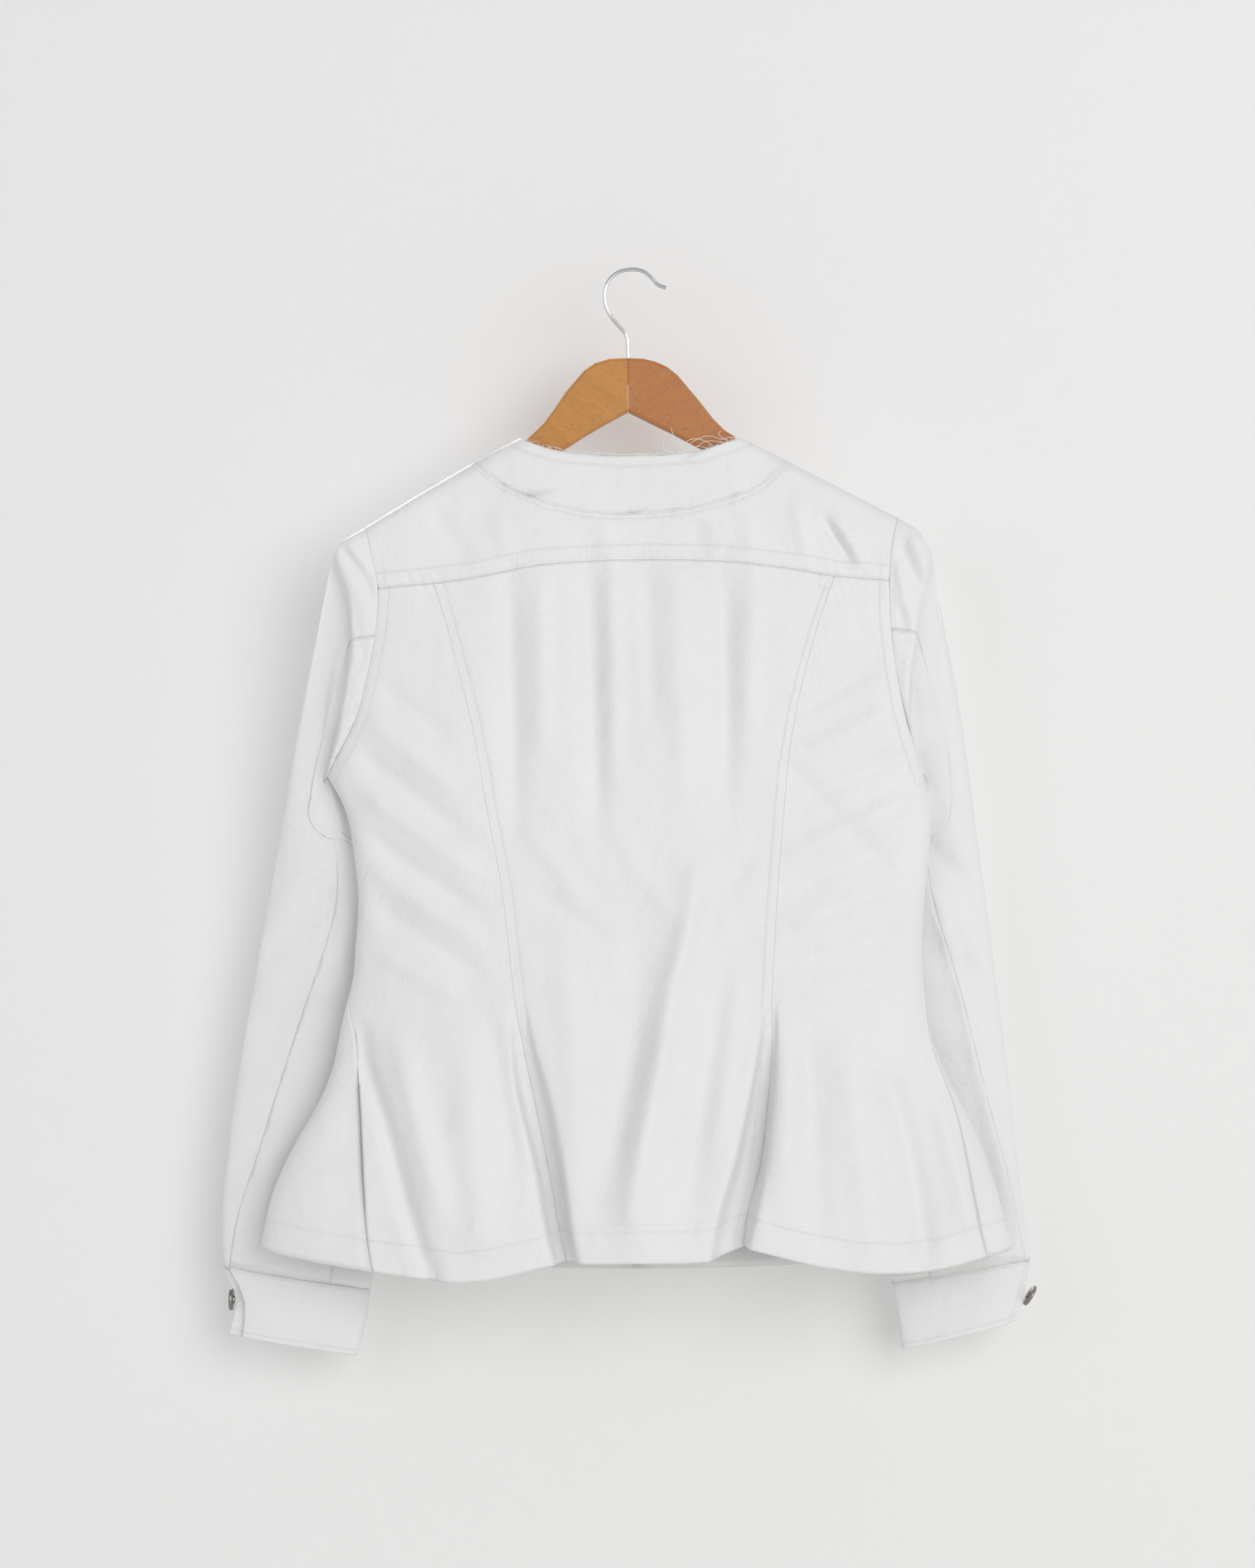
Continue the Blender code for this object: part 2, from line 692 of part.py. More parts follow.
def front_panel(side):
    """Rows from the shoulder to the hem, and columns from the side seam to the middle."""
    lower = []
    for level in body_levels():
        start = -side_seam_angle(level, side)
        end = ring_angle(level, 0.0) if side > 0 else math.pi - ring_angle(level, 0.0)
        row = []
        for j in range(FRONT_COLUMNS + 1):
            turn = lerp(start, end, j / FRONT_COLUMNS)
            face = BACK if turn < 0 else FRONT
            row.append(ring_point(level, turn if side > 0 else math.pi - turn, face))
        lower.append(row)
    start_x = edges_at(SHOULDER_LEVEL)[0 if side < 0 else 1]
    corner = BAND_CORNERS[0 if side < 0 else 1]
    rows = []
    for i in range(YOKE_ROWS):
        share = yoke_share(i)
        level = lerp(SHOULDER_LEVEL, YOKE_LEVEL, share)
        edge = edges_at(level)[0 if side < 0 else 1]
        row = []
        for j in range(FRONT_COLUMNS + 1):
            if j < SHOULDER_COLUMNS:
                x = lerp(start_x, corner, j / SHOULDER_COLUMNS)
                z = read(SHOULDER_LINE, x)
            else:
                x, z = front_edge(FRONT_SEWN_EDGE, front_neck_share(j - SHOULDER_COLUMNS), side)
            end = lower[0][j]
            bow = edge - lerp(start_x, lower[0][0].x, share)
            x = lerp(x, end.x, share) + bow * max(0.0, 1 - j / SHOULDER_COLUMNS) ** 2
            z = lerp(z, end.z, share)
            row.append(Vector((x, depth_at(level, x, z, FRONT), z)))
        rows.append(row)
    return rows + lower


# Sleeves

def sleeve_ring(section, count):
    """A flattened ring: 0 at the outer edge, pi/2 behind, pi at the inner edge."""
    z, outer, inner, fall, y, half_depth, back_seam, inner_seam = section
    upper = [lerp(0.0, back_seam, k / BACK_SEAM_ROW) for k in range(BACK_SEAM_ROW)]
    half = count // 2
    under = [
        lerp(back_seam, inner_seam, k / (half - BACK_SEAM_ROW))
        for k in range(half - BACK_SEAM_ROW)
    ]
    rest = [lerp(inner_seam, 2 * math.pi, k / (count - half)) for k in range(count - half + 1)]
    ring = []
    for angle in upper + under + rest:
        across = (1 - math.cos(angle)) / 2
        thickness = half_depth * abs(math.sin(angle)) ** SLEEVE_ROUNDNESS
        toward = -1 if math.sin(angle) >= 0 else 1
        ring.append(Vector((lerp(outer, inner, across), y + toward * thickness, z - fall * across)))
    return ring


def sleeve_rows(side, back_edge, front_edge_points):
    """Rings of the sleeve from the armhole to the cuff.

    back_edge and front_edge_points run from the shoulder to the underarm.
    """
    armhole = list(back_edge) + list(front_edge_points[-2::-1])
    count = len(armhole) - 1
    half = count // 2
    column = 1 if side < 0 else 2
    crest, turn = [], []
    for k, point in enumerate(armhole):
        behind = k <= half
        share = k / half if behind else (count - k) / half
        width = read(SLEEVE_STRIP if behind else FRONT_STRIP, point.z, column)
        top = max(0.0, 1 - share * 3)
        lift = (-0.0015 if behind else 0.0030) * math.sin(math.pi * share)
        crest.append(point + Vector((side * width, lift, -0.002 - 0.009 * top)))
        step = lerp(0.004, 0.012 if behind else 0.006, smoothstep(share * 2.5))
        low = smoothstep((share - 0.6) / 0.4)
        step = lerp(step, 0.002, low)
        fall = 0.003 + 0.006 * top + 0.004 * low
        out = 0.0012 + 0.004 * top + 0.003 * low
        turn.append(crest[-1] + Vector((side * out, step, -fall)))
    middle = [a.lerp(b, 0.5) + Vector((0, -0.001 if k <= half else 0.001, 0))
              for k, (a, b) in enumerate(zip(armhole, crest))]
    middle[0] = middle[-1] = armhole[0].lerp(crest[0], 0.5) + Vector((0, 0, 0.001))
    sections = LEFT_SLEEVE if side < 0 else RIGHT_SLEEVE
    first = sleeve_ring(sections[0], count)
    rows = [armhole, middle, crest, turn]
    for i in range(1, SLEEVE_BLEND_ROWS + 1):
        share = i / (SLEEVE_BLEND_ROWS + 1)
        row = []
        for k, (a, b) in enumerate(zip(turn, first)):
            round_share = min(k, count - k) / half
            low = smoothstep((round_share - UNDERARM_BOW_START) / UNDERARM_BOW_START)
            early = lerp(share, 1 - (1 - share) ** 2, low)
            forward = share
            bow = SLEEVE_HEAD_BOW * max(0.0, math.cos(math.pi * round_share)) ** 2
            if k < half:
                forward = lerp(share, share ** 2, low)
                bow += UNDERARM_BOW_BEHIND * low
            elif k > half:
                forward = early
                bow += UNDERARM_BOW_BEFORE * low
            row.append(Vector((
                lerp(a.x, b.x, share) + side * bow * math.sin(math.pi * share),
                lerp(a.y, b.y, forward),
                lerp(a.z, b.z, early),
            )))
        rows.append(row)
    return rows + [sleeve_ring(section, count) for section in sections]


def cuff_rows(side, count):
    """The cuff starts at its open end behind, goes round, and its other end tucks under."""
    table = LEFT_CUFF if side < 0 else RIGHT_CUFF
    inner_seam = (LEFT_SLEEVE if side < 0 else RIGHT_SLEEVE)[-1][7]
    half = count // 2
    rows = []
    for i in range(CUFF_ROWS + 1):
        share = i / CUFF_ROWS
        keyed = [(n / (len(table) - 1), *section) for n, section in enumerate(table)]
        z, outer, inner, fall, end = (read(keyed, share, c) for c in range(1, 6))
        angles = [lerp(end, inner_seam, k / (half - BACK_SEAM_ROW)) for k in range(half - BACK_SEAM_ROW)]
        angles += [lerp(inner_seam, 2 * math.pi, k / (count - half)) for k in range(count - half)]
        strip = [lerp(0.0, end, k / BACK_SEAM_ROW) for k in range(0, BACK_SEAM_ROW + 5, 2)]
        row = []
        for angle, tuck in [(a, 0.0) for a in angles] + [
            (a, CUFF_TUCK * smoothstep(n / 3)) for n, a in enumerate(strip)
        ]:
            across = (1 - math.cos(angle)) / 2
            thickness = CUFF_HALF_DEPTH * abs(math.sin(angle)) ** SLEEVE_ROUNDNESS
            toward = -1 if math.sin(angle) >= 0 else 1
            x = lerp(outer, inner, across) - side * tuck * 0.4
            row.append(Vector((x, CUFF_Y + toward * thickness + tuck, z - fall * across)))
        rows.append(row)
    return rows


# Making the solids

def new_object(name, mesh, colour, roughness, metallic=0.0):
    material = bpy.data.materials.new(name)
    material.use_nodes = True
    shader = material.node_tree.nodes["Principled BSDF"]
    shader.inputs["Base Color"].default_value = (*colour, 1.0)
    shader.inputs["Roughness"].default_value = roughness
    shader.inputs["Metallic"].default_value = metallic
    mesh.materials.append(material)
    obj = bpy.data.objects.new(name, mesh)
    parts.objects.link(obj)
    return obj


def grid_normals(rows):
    """Sums of the face normals round each point of a grid."""
    normals = [[Vector() for _ in row] for row in rows]
    for i in range(len(rows) - 1):
        for j in range(len(rows[0]) - 1):
            a, b = rows[i][j], rows[i][j + 1]
            c, d = rows[i + 1][j + 1], rows[i + 1][j]
            normal = (c - a).cross(d - b).normalized()
            for n, m in ((i, j), (i, j + 1), (i + 1, j + 1), (i + 1, j)):
                normals[n][m] += normal
    return normals


def inward_directions(rows):
    """Unit steps from the grid's four edges to the next points inside it, zero elsewhere."""
    high, wide = len(rows), len(rows[0])
    inward = [[Vector() for _ in row] for row in rows]
    for i in range(high):
        for j in range(wide):
            for on_edge, n, m in (
                (i == 0, 1, j), (i == high - 1, high - 2, j),
                (j == 0, i, 1), (j == wide - 1, i, wide - 2),
            ):
                if on_edge:
                    inward[i][j] += (rows[n][m] - rows[i][j]).normalized()
    return inward


def add_grid(mesh, points, flipped):
    """A bmesh grid whose points are set one by one, and its edge loop."""
    high, wide = len(points), len(points[0])
    made = bmesh.ops.create_grid(mesh, x_segments=wide - 1, y_segments=high - 1, size=1.0)
    verts = sorted(made["verts"], key=lambda v: (-round(v.co.y, 5), round(v.co.x, 5)))
    faces = {f for v in verts for f in v.link_faces}
    for n, vert in enumerate(verts):
        vert.co = points[n // wide][n % wide]
    if flipped:
        bmesh.ops.reverse_faces(mesh, faces=list(faces))
    return [e for e in {e for v in verts for e in v.link_edges} if e.is_boundary]


def build_walls(sheets):
    """Turns the sheets into closed walls that thicken the same way on both sides of a seam."""
    inward = {name: inward_directions(sheet["rows"]) for name, sheet in sheets.items()}
    total = sum(len(s["rows"]) * len(s["rows"][0]) for s in sheets.values())
    tree = KDTree(total)
    facing, edgeward, of_sleeve = [], [], []
    for name, sheet in sheets.items():
        normals = grid_normals(sheet["rows"])
        for i, row in enumerate(sheet["rows"]):
            for j, point in enumerate(row):
                tree.insert(point, len(facing))
                facing.append(normals[i][j] * sheet["sign"])
                edgeward.append(-inward[name][i][j])
                of_sleeve.append(name.startswith("sleeve"))
    tree.balance()
    for name, sheet in sheets.items():
        outer, inner = [], []
        for row, steps in zip(sheet["rows"], inward[name]):
            outer_row, inner_row = [], []
            for point, step in zip(row, steps):
                near = [n for _, n, _ in tree.find_range(point, WELD)]
                around = [facing[n] for n in near]
                gap = SEAM_GAP / 2
                if any(of_sleeve[n] for n in near):
                    around = [normal.normalized() for normal in around]
                normal = sum(around, Vector())
                if all(of_sleeve[n] for n in near) and normal.length < SHARP_FOLD * len(near):
                    normal = sum((edgeward[n] for n in near), Vector())
                    gap = SHARP_FOLD_GAP
                if abs(point.y) < WELD:
                    normal.y = 0.0
                outer_row.append(point + step * gap)
                inner_row.append(outer_row[-1] - normal.normalized() * sheet["wall"])
            outer.append(outer_row)
            inner.append(inner_row)
        mesh = bmesh.new()
        loop = add_grid(mesh, outer, sheet["sign"] < 0)
        loop += add_grid(mesh, inner, sheet["sign"] > 0)
        bmesh.ops.bridge_loops(mesh, edges=loop)
        bmesh.ops.recalc_face_normals(mesh, faces=mesh.faces)
        bmesh.ops.triangulate(mesh, faces=mesh.faces)
        data = bpy.data.meshes.new(name)
        mesh.to_mesh(data)
        mesh.free()
        data.shade_smooth()
        new_object(name, data, CLOTH_COLOUR, 0.6)


def make_button(name, place, axis, colour=METAL_COLOUR):
    """A turned metal button with its shank, its face looking along axis."""
    profile = (
        (0.0, SHANK_LENGTH + BUTTON_THICKNESS),
        (BUTTON_RADIUS * 0.6, SHANK_LENGTH + BUTTON_THICKNESS * 0.92),
        (BUTTON_RADIUS * 0.93, SHANK_LENGTH + BUTTON_THICKNESS * 0.7),
        (BUTTON_RADIUS, SHANK_LENGTH + BUTTON_THICKNESS * 0.4),
        (BUTTON_RADIUS * 0.95, SHANK_LENGTH),
        (SHANK_RADIUS, SHANK_LENGTH),
        (SHANK_RADIUS, 0.0),
        (0.0, 0.0),
    )
    mesh = bmesh.new()
    verts = [mesh.verts.new((r, 0.0, h)) for r, h in profile]
    edges = [mesh.edges.new(pair) for pair in zip(verts, verts[1:])]
    bmesh.ops.spin(
        mesh, geom=verts + edges, cent=(0, 0, 0), axis=(0, 0, 1), angle=2 * math.pi,
        steps=BUTTON_SIDES, use_merge=True,
    )
    bmesh.ops.remove_doubles(mesh, verts=mesh.verts, dist=0.00002)
    bmesh.ops.recalc_face_normals(mesh, faces=mesh.faces)
    data = bpy.data.meshes.new(name)
    mesh.to_mesh(data)
    mesh.free()
    data.shade_smooth()
    data.set_sharp_from_angle(angle=math.radians(40))
    obj = new_object(name, data, colour, 0.35, 1.0)
    obj.rotation_euler = Vector(axis).to_track_quat("Z", "Y").to_euler()
    obj.location = place
    return obj


def placket_rows(panel):
    """The strip over the closed front, laid on the two fronts and moved out."""
    rows = []
    top = [Vector((0.0, 0.0, FRONT_RAW_EDGE[-1][1] - 0.0015))]
    levels = [lerp(SHOULDER_LEVEL, YOKE_LEVEL, yoke_share(i)) for i in range(YOKE_ROWS)] + body_levels()
    heights = top + [row[-1] for row in panel]
    levels = [SHOULDER_LEVEL] + levels
    for level, point in zip(levels, heights):
        row = []
        for j in range(PLACKET_COLUMNS + 1):
            x = lerp(-PLACKET_HALF_WIDTH, PLACKET_HALF_WIDTH, j / PLACKET_COLUMNS)
            depth = depth_at(level, x, point.z, FRONT)
            row.append(Vector((x, depth + SEAM_GAP + DOUBLE_CLOTH, point.z)))
        rows.append(row)
    return rows


def curve_object(name, points, closed):
    curve = bpy.data.curves.new(name, "CURVE")
    spline = curve.splines.new("POLY")
    spline.points.add(len(points) - 1)
    for target, point in zip(spline.points, points):
        target.co = (*point, 1.0)
    spline.use_cyclic_u = closed
    return curve


def mesh_from_curve(name, curve, rotation, colour, roughness, metallic=0.0):
    """A mesh from a filled or bevelled curve, with its caps welded."""
    shape = bpy.data.objects.new(name + "_curve", curve)
    cutters.objects.link(shape)
    shape.rotation_euler = rotation
    bpy.context.view_layer.update()
    data = bpy.data.meshes.new_from_object(shape.evaluated_get(bpy.context.evaluated_depsgraph_get()))
    data.transform(shape.matrix_world)
    bpy.data.objects.remove(shape)
    mesh = bmesh.new()
    mesh.from_mesh(data)
    bmesh.ops.remove_doubles(mesh, verts=mesh.verts, dist=0.00001)
    bmesh.ops.recalc_face_normals(mesh, faces=mesh.faces)
    mesh.to_mesh(data)
    mesh.free()
    data.name = name
    return new_object(name, data, colour, roughness, metallic)


def hanger_arm(name, side, top, bottom, colour):
    """One wooden arm, from the glued joint to its rounded tip inside the shoulder."""
    joint = ARM_JOINT_X + side * SEAM_GAP / 2
    under = [
        (side * x, read(SHOULDER_LINE, side * x) - read(ARM_UNDER_CLOTH, x))
        for x in (0.0845, 0.098, 0.112, 0.130, 0.148, 0.166, ARM_TIP_X - 0.004)
    ]
    tip_x = side * ARM_TIP_X
    tip_top = under[-1][1]
    tip = [
        (tip_x, tip_top - 0.005),
        (tip_x, tip_top - ARM_TIP_DEPTH + 0.006),
        (side * (ARM_TIP_X - 0.006), tip_top - ARM_TIP_DEPTH),
    ]
    outline = [(joint, JOINT_TOP), *top, *under, *tip, *reversed(bottom), (joint, JOINT_BOTTOM)]
    curve = curve_object(name, [(x, z, 0.0) for x, z in outline], closed=True)
    curve.dimensions = "2D"
    curve.fill_mode = "BOTH"
    curve.extrude = ARM_HALF_THICKNESS
    arm = mesh_from_curve(name, curve, (math.pi / 2, 0, 0), colour, 0.45)
    mesh = bmesh.new()
    mesh.from_mesh(arm.data)
    rims = [
        e for e in mesh.edges
        if len(e.link_faces) == 2 and e.calc_face_angle() > math.radians(60)
        and abs(e.verts[0].co.y - e.verts[1].co.y) < 0.0001
        and not all(abs(v.co.x - joint) < 0.00001 for v in e.verts)
    ]
    bmesh.ops.bevel(mesh, geom=rims, offset=ARM_EDGE_RADIUS, segments=2, profile=0.5,
                    affect="EDGES", material=-1)
    mesh.to_mesh(arm.data)
    mesh.free()
    drill = arm.modifiers.new("hook hole", "BOOLEAN")
    drill.object = hole_cutter
    return arm


parts = bpy.data.collections.new(NAME)
cutters = bpy.data.collections.new("cutters")
bpy.context.scene.collection.children.link(parts)
bpy.context.scene.collection.children.link(cutters)

# Cloth
sides = side_panel()
centre = centre_panel()
seam_row = sides[-1][0] + centre[0][1:-1] + list(reversed(sides[1][0]))
yoke_grid = yoke(seam_row)
fronts = {side: front_panel(side) for side in (-1, 1)}
sheets = {
    "back_yoke": {"rows": yoke_grid, "wall": CLOTH, "sign": -1},
    "neck_band_back": {"rows": neck_band_back(), "wall": DOUBLE_CLOTH, "sign": -1},
    "back_centre": {"rows": centre, "wall": CLOTH, "sign": -1},
    "back_side_left": {"rows": sides[-1], "wall": CLOTH, "sign": -1},
    "back_side_right": {"rows": sides[1], "wall": CLOTH, "sign": 1},
    "front_left": {"rows": fronts[-1], "wall": CLOTH, "sign": 1},
    "front_right": {"rows": fronts[1], "wall": CLOTH, "sign": -1},
    "neck_band_front_left": {"rows": neck_band_front(-1), "wall": DOUBLE_CLOTH, "sign": 1},
    "neck_band_front_right": {"rows": neck_band_front(1), "wall": DOUBLE_CLOTH, "sign": -1},
    "front_placket": {"rows": placket_rows(fronts[-1]), "wall": DOUBLE_CLOTH, "sign": 1},
}
for side, word in ((-1, "left"), (1, "right")):
    edge_column = 0 if side < 0 else -1
    back_edge = [row[edge_column] for row in yoke_grid[:-1]]
    back_edge += [row[0] for row in sides[side][:ARMHOLE_ROWS + 1]]
    front_line = [row[0] for row in fronts[side][:YOKE_ROWS + ARMHOLE_ROWS + 1]]
    rings = sleeve_rows(side, back_edge, front_line)
    count = len(rings[0]) - 1
    half = count // 2
    upper = [row[half:count] + row[:BACK_SEAM_ROW + 1] for row in rings]
    under = [row[BACK_SEAM_ROW:half + 1] for row in rings]
    sheets["sleeve_upper_" + word] = {"rows": upper, "wall": CLOTH, "sign": side}
    sheets["sleeve_under_" + word] = {"rows": under, "wall": CLOTH, "sign": side}
    sheets["cuff_" + word] = {"rows": cuff_rows(side, count), "wall": DOUBLE_CLOTH, "sign": side}
build_walls(sheets)

# Buttons
for n in range(PLACKET_BUTTONS):
    z = lerp(FRONT_RAW_EDGE[-1][1] - 0.015, HEM_LEVEL + 0.060, n / (PLACKET_BUTTONS - 1))
    y = depth_at(min(z, YOKE_LEVEL), 0.0, z, FRONT) + SEAM_GAP + DOUBLE_CLOTH + SEAM_GAP
    make_button(f"front_button_{n + 1}", (0.0, y, z), (0, 1, 0))
make_button("cuff_button_left", (-0.3032, CUFF_Y, -0.7787), (-1, 0, 0))
make_button("cuff_button_right", (0.3001, CUFF_Y, -0.7744), (0.85, 0, -0.5))

# Hanger
bpy.ops.mesh.primitive_cylinder_add(
    vertices=16, radius=WIRE_HOLE_RADIUS, depth=WIRE_HOLE_DEPTH * 2,
    location=(ARM_JOINT_X, 0.0, JOINT_TOP),
)
hole_cutter = bpy.context.object
hole_cutter.name = "hook_hole_cutter"
for collection in list(hole_cutter.users_collection):
    collection.objects.unlink(hole_cutter)
cutters.objects.link(hole_cutter)
hole_cutter.hide_render = True
hole_cutter.display_type = "WIRE"
hanger_arm("hanger_arm_left", -1, LEFT_ARM_TOP, LEFT_ARM_BOTTOM, LEFT_WOOD_COLOUR)
hanger_arm("hanger_arm_right", 1, RIGHT_ARM_TOP, RIGHT_ARM_BOTTOM, RIGHT_WOOD_COLOUR)

stem_end = (ARM_JOINT_X, JOINT_TOP - WIRE_HOLE_DEPTH + SEAM_GAP)
route = [*HOOK_ROUTE, stem_end]
steps = (len(route) - 1) * HOOK_STEPS
bends = [along(route, i / steps) for i in range(steps + 1)]
wire = curve_object("hanger_hook", [(x, 0.0, z) for x, z in bends], closed=False)
wire.dimensions = "3D"
wire.bevel_depth = WIRE_RADIUS
wire.bevel_resolution = 2
wire.use_fill_caps = True
mesh_from_curve("hanger_hook", wire, (0, 0, 0), WIRE_COLOUR, 0.3, 1.0)
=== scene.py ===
import math
import random

import bmesh
import bpy
from mathutils import Matrix, Vector, noise
from mathutils.bvhtree import BVHTree


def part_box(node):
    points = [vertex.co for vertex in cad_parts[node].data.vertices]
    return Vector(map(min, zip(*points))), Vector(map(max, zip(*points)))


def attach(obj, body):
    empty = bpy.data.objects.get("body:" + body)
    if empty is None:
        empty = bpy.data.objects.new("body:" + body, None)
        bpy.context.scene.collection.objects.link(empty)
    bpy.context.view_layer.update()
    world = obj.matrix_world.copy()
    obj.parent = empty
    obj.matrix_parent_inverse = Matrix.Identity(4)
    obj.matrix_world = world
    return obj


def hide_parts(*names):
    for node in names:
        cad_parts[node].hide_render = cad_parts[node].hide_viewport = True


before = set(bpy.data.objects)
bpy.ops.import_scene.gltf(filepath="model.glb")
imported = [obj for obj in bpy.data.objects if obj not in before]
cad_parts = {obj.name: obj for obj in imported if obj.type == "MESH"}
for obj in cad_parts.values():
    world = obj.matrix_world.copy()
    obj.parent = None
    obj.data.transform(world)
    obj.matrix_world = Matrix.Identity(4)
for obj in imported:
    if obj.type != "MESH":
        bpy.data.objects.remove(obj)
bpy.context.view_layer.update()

scene = bpy.context.scene
random.seed(11)

# The camera stands where the photographer stood; a soft light comes from the upper right.
room = {
    "cameraPlace": (-0.0041, -2.620, -0.386),
    "lensMm": 79.9,
    "wallY": 0.076,
    "wallColour": (0.80, 0.80, 0.80),
    "floorZ": -1.30,
    "floorColour": (0.78, 0.77, 0.75),
    "keyPlace": (1.90, -3.70, 0.55),
    "keySize": 3.40,
    "keyPower": 84.0,
    "fillPlace": (-1.60, -1.90, 0.10),
    "fillSize": 1.80,
    "fillPower": 7.0,
    "backPlace": (-0.60, 2.20, 0.70),
    "backSize": 1.2,
    "backPower": 40.0,
    "keyColour": (1.0, 0.985, 0.965),
    "fillColour": (0.95, 0.97, 1.0),
    "backColour": (1.0, 0.99, 0.97),
    "lightTarget": (0.0, 0.0, -0.42),
    "skyColour": (0.93, 0.94, 0.96, 1.0),
    "skyStrength": 0.53,
    "halfExtent": 5.0,
    "wallMiddleZ": -0.4,
}


def aim(thing, target):
    thing.rotation_euler = (Vector(target) - thing.location).to_track_quat("-Z", "Y").to_euler()


def addLight(name, place, size, power, tone):
    light = bpy.data.lights.new(name, "AREA")
    light.shape = "DISK"
    light.size = size
    light.energy = power
    light.color = tone
    lamp = bpy.data.objects.new(name, light)
    lamp.location = place
    scene.collection.objects.link(lamp)
    aim(lamp, room["lightTarget"])


camera = bpy.data.objects.new("photoCamera", bpy.data.cameras.new("photoCamera"))
camera.data.lens = room["lensMm"]
camera.data.sensor_width = 36.0
camera.location = room["cameraPlace"]
camera.rotation_euler = (math.pi / 2, 0.0, 0.0)
scene.collection.objects.link(camera)
scene.camera = camera
scene.view_settings.view_transform = "Standard"

addLight("key", room["keyPlace"], room["keySize"], room["keyPower"], room["keyColour"])
addLight("fill", room["fillPlace"], room["fillSize"], room["fillPower"], room["fillColour"])
addLight("fromBehind", room["backPlace"], room["backSize"], room["backPower"], room["backColour"])
sky = bpy.data.worlds.new("studio")
sky.use_nodes = True
sky.node_tree.nodes["Background"].inputs["Color"].default_value = room["skyColour"]
sky.node_tree.nodes["Background"].inputs["Strength"].default_value = room["skyStrength"]
scene.world = sky
print("camera and lights ready")


class Signal:
    def __init__(self, maker, socket):
        self.maker = maker
        self.socket = socket

    def math(self, operation, *values):
        return self.maker.add("ShaderNodeMath", {"operation": operation}, dict(enumerate(values)))

    def __add__(self, other):
        return self.math("ADD", self, other)

    def __sub__(self, other):
        return self.math("SUBTRACT", self, other)

    def __mul__(self, other):
        return self.math("MULTIPLY", self, other)

    def __truediv__(self, other):
        return self.math("DIVIDE", self, other)

    def __rtruediv__(self, other):
        return self.math("DIVIDE", other, self)

    def __pow__(self, other):
        return self.math("POWER", self, other)

    __radd__ = __add__
    __rmul__ = __mul__


class Finish:
    def __init__(self, name):
        self.material = bpy.data.materials.new(name)
        self.material.use_nodes = True
        self.tree = self.material.node_tree
        self.shader = self.tree.nodes["Principled BSDF"]

    def add(self, kind, settings=None, values=None, output=0):
        made = self.tree.nodes.new(kind)
        for key, value in (settings or {}).items():
            if key == "stops":
                ramp = made.color_ramp
                while len(ramp.elements) < len(value):
                    ramp.elements.new(0.5)
                for element, (place, colour) in zip(ramp.elements, value):
                    element.position = place
                    element.color = (*colour, 1.0)
            else:
                setattr(made, key, value)
        self.feed(made, values or {})
        return Signal(self, made.outputs[output])

    def feed(self, target, values):
        for key, value in values.items():
            if isinstance(value, Signal):
                self.tree.links.new(value.socket, target.inputs[key])
            else:
                target.inputs[key].default_value = value

    def stretched(self, scale, turn=(0.0, 0.0, 0.0)):
        place = self.add("ShaderNodeTexCoord", output=3)
        return self.add("ShaderNodeMapping", {"vector_type": "TEXTURE"},
                        {"Vector": place, "Scale": tuple(1 / part for part in scale), "Rotation": turn})

    def noise(self, vector, scale, detail=2.0, rough=0.5, distortion=0.0):
        return self.add("ShaderNodeTexNoise", {"noise_dimensions": "3D"},
                        {"Vector": vector, "Scale": scale, "Detail": detail,
                         "Roughness": rough, "Distortion": distortion})

    def blend(self, factor, first, second):
        made = self.tree.nodes.new("ShaderNodeMix")
        made.data_type = "RGBA"
        self.feed(made, {0: factor, 6: first, 7: second})
        return Signal(self, made.outputs[2])

    def bump(self, height, distance, strength=1.0, under=None):
        values = {"Height": height, "Distance": distance, "Strength": strength}
        if under:
            values["Normal"] = under
        return self.add("ShaderNodeBump", None, values)


def colour(r, g, b):
    return (r, g, b, 1.0)


def backdrop(name, size, place, turn, tone):
    bm = bmesh.new()
    bmesh.ops.create_grid(bm, x_segments=1, y_segments=1, size=size)
    bmesh.ops.transform(bm, matrix=Matrix.Translation(place) @ turn, verts=bm.verts)
    mesh = bpy.data.meshes.new(name)
    bm.to_mesh(mesh)
    bm.free()
    thing = bpy.data.objects.new(name, mesh)
    scene.collection.objects.link(thing)
    paint = Finish(name + "Paint")
    grain = paint.noise(paint.stretched((1, 1, 1)), 320.0, 4.0, 0.6)
    paint.feed(paint.shader, {
        "Base Color": colour(*tone),
        "Roughness": 0.9,
        "Normal": paint.bump(grain, 0.0003, 0.15),
    })
    seeThrough = paint.add("ShaderNodeBsdfTransparent")
    behind = paint.add("ShaderNodeNewGeometry", output=6)
    shown = paint.add("ShaderNodeMixShader", None,
                      {0: behind, 1: Signal(paint, paint.shader.outputs[0]), 2: seeThrough})
    paint.feed(paint.tree.nodes["Material Output"], {"Surface": shown})
    mesh.materials.append(paint.material)
    thing.visible_shadow = False


backdrop("paleWall", room["halfExtent"], (0.0, room["wallY"], room["wallMiddleZ"]),
         Matrix.Rotation(math.pi / 2, 4, "X"), room["wallColour"])
backdrop("paleFloor", room["halfExtent"], (0.0, 0.0, room["floorZ"]), Matrix.Identity(4), room["floorColour"])
print("room ready")


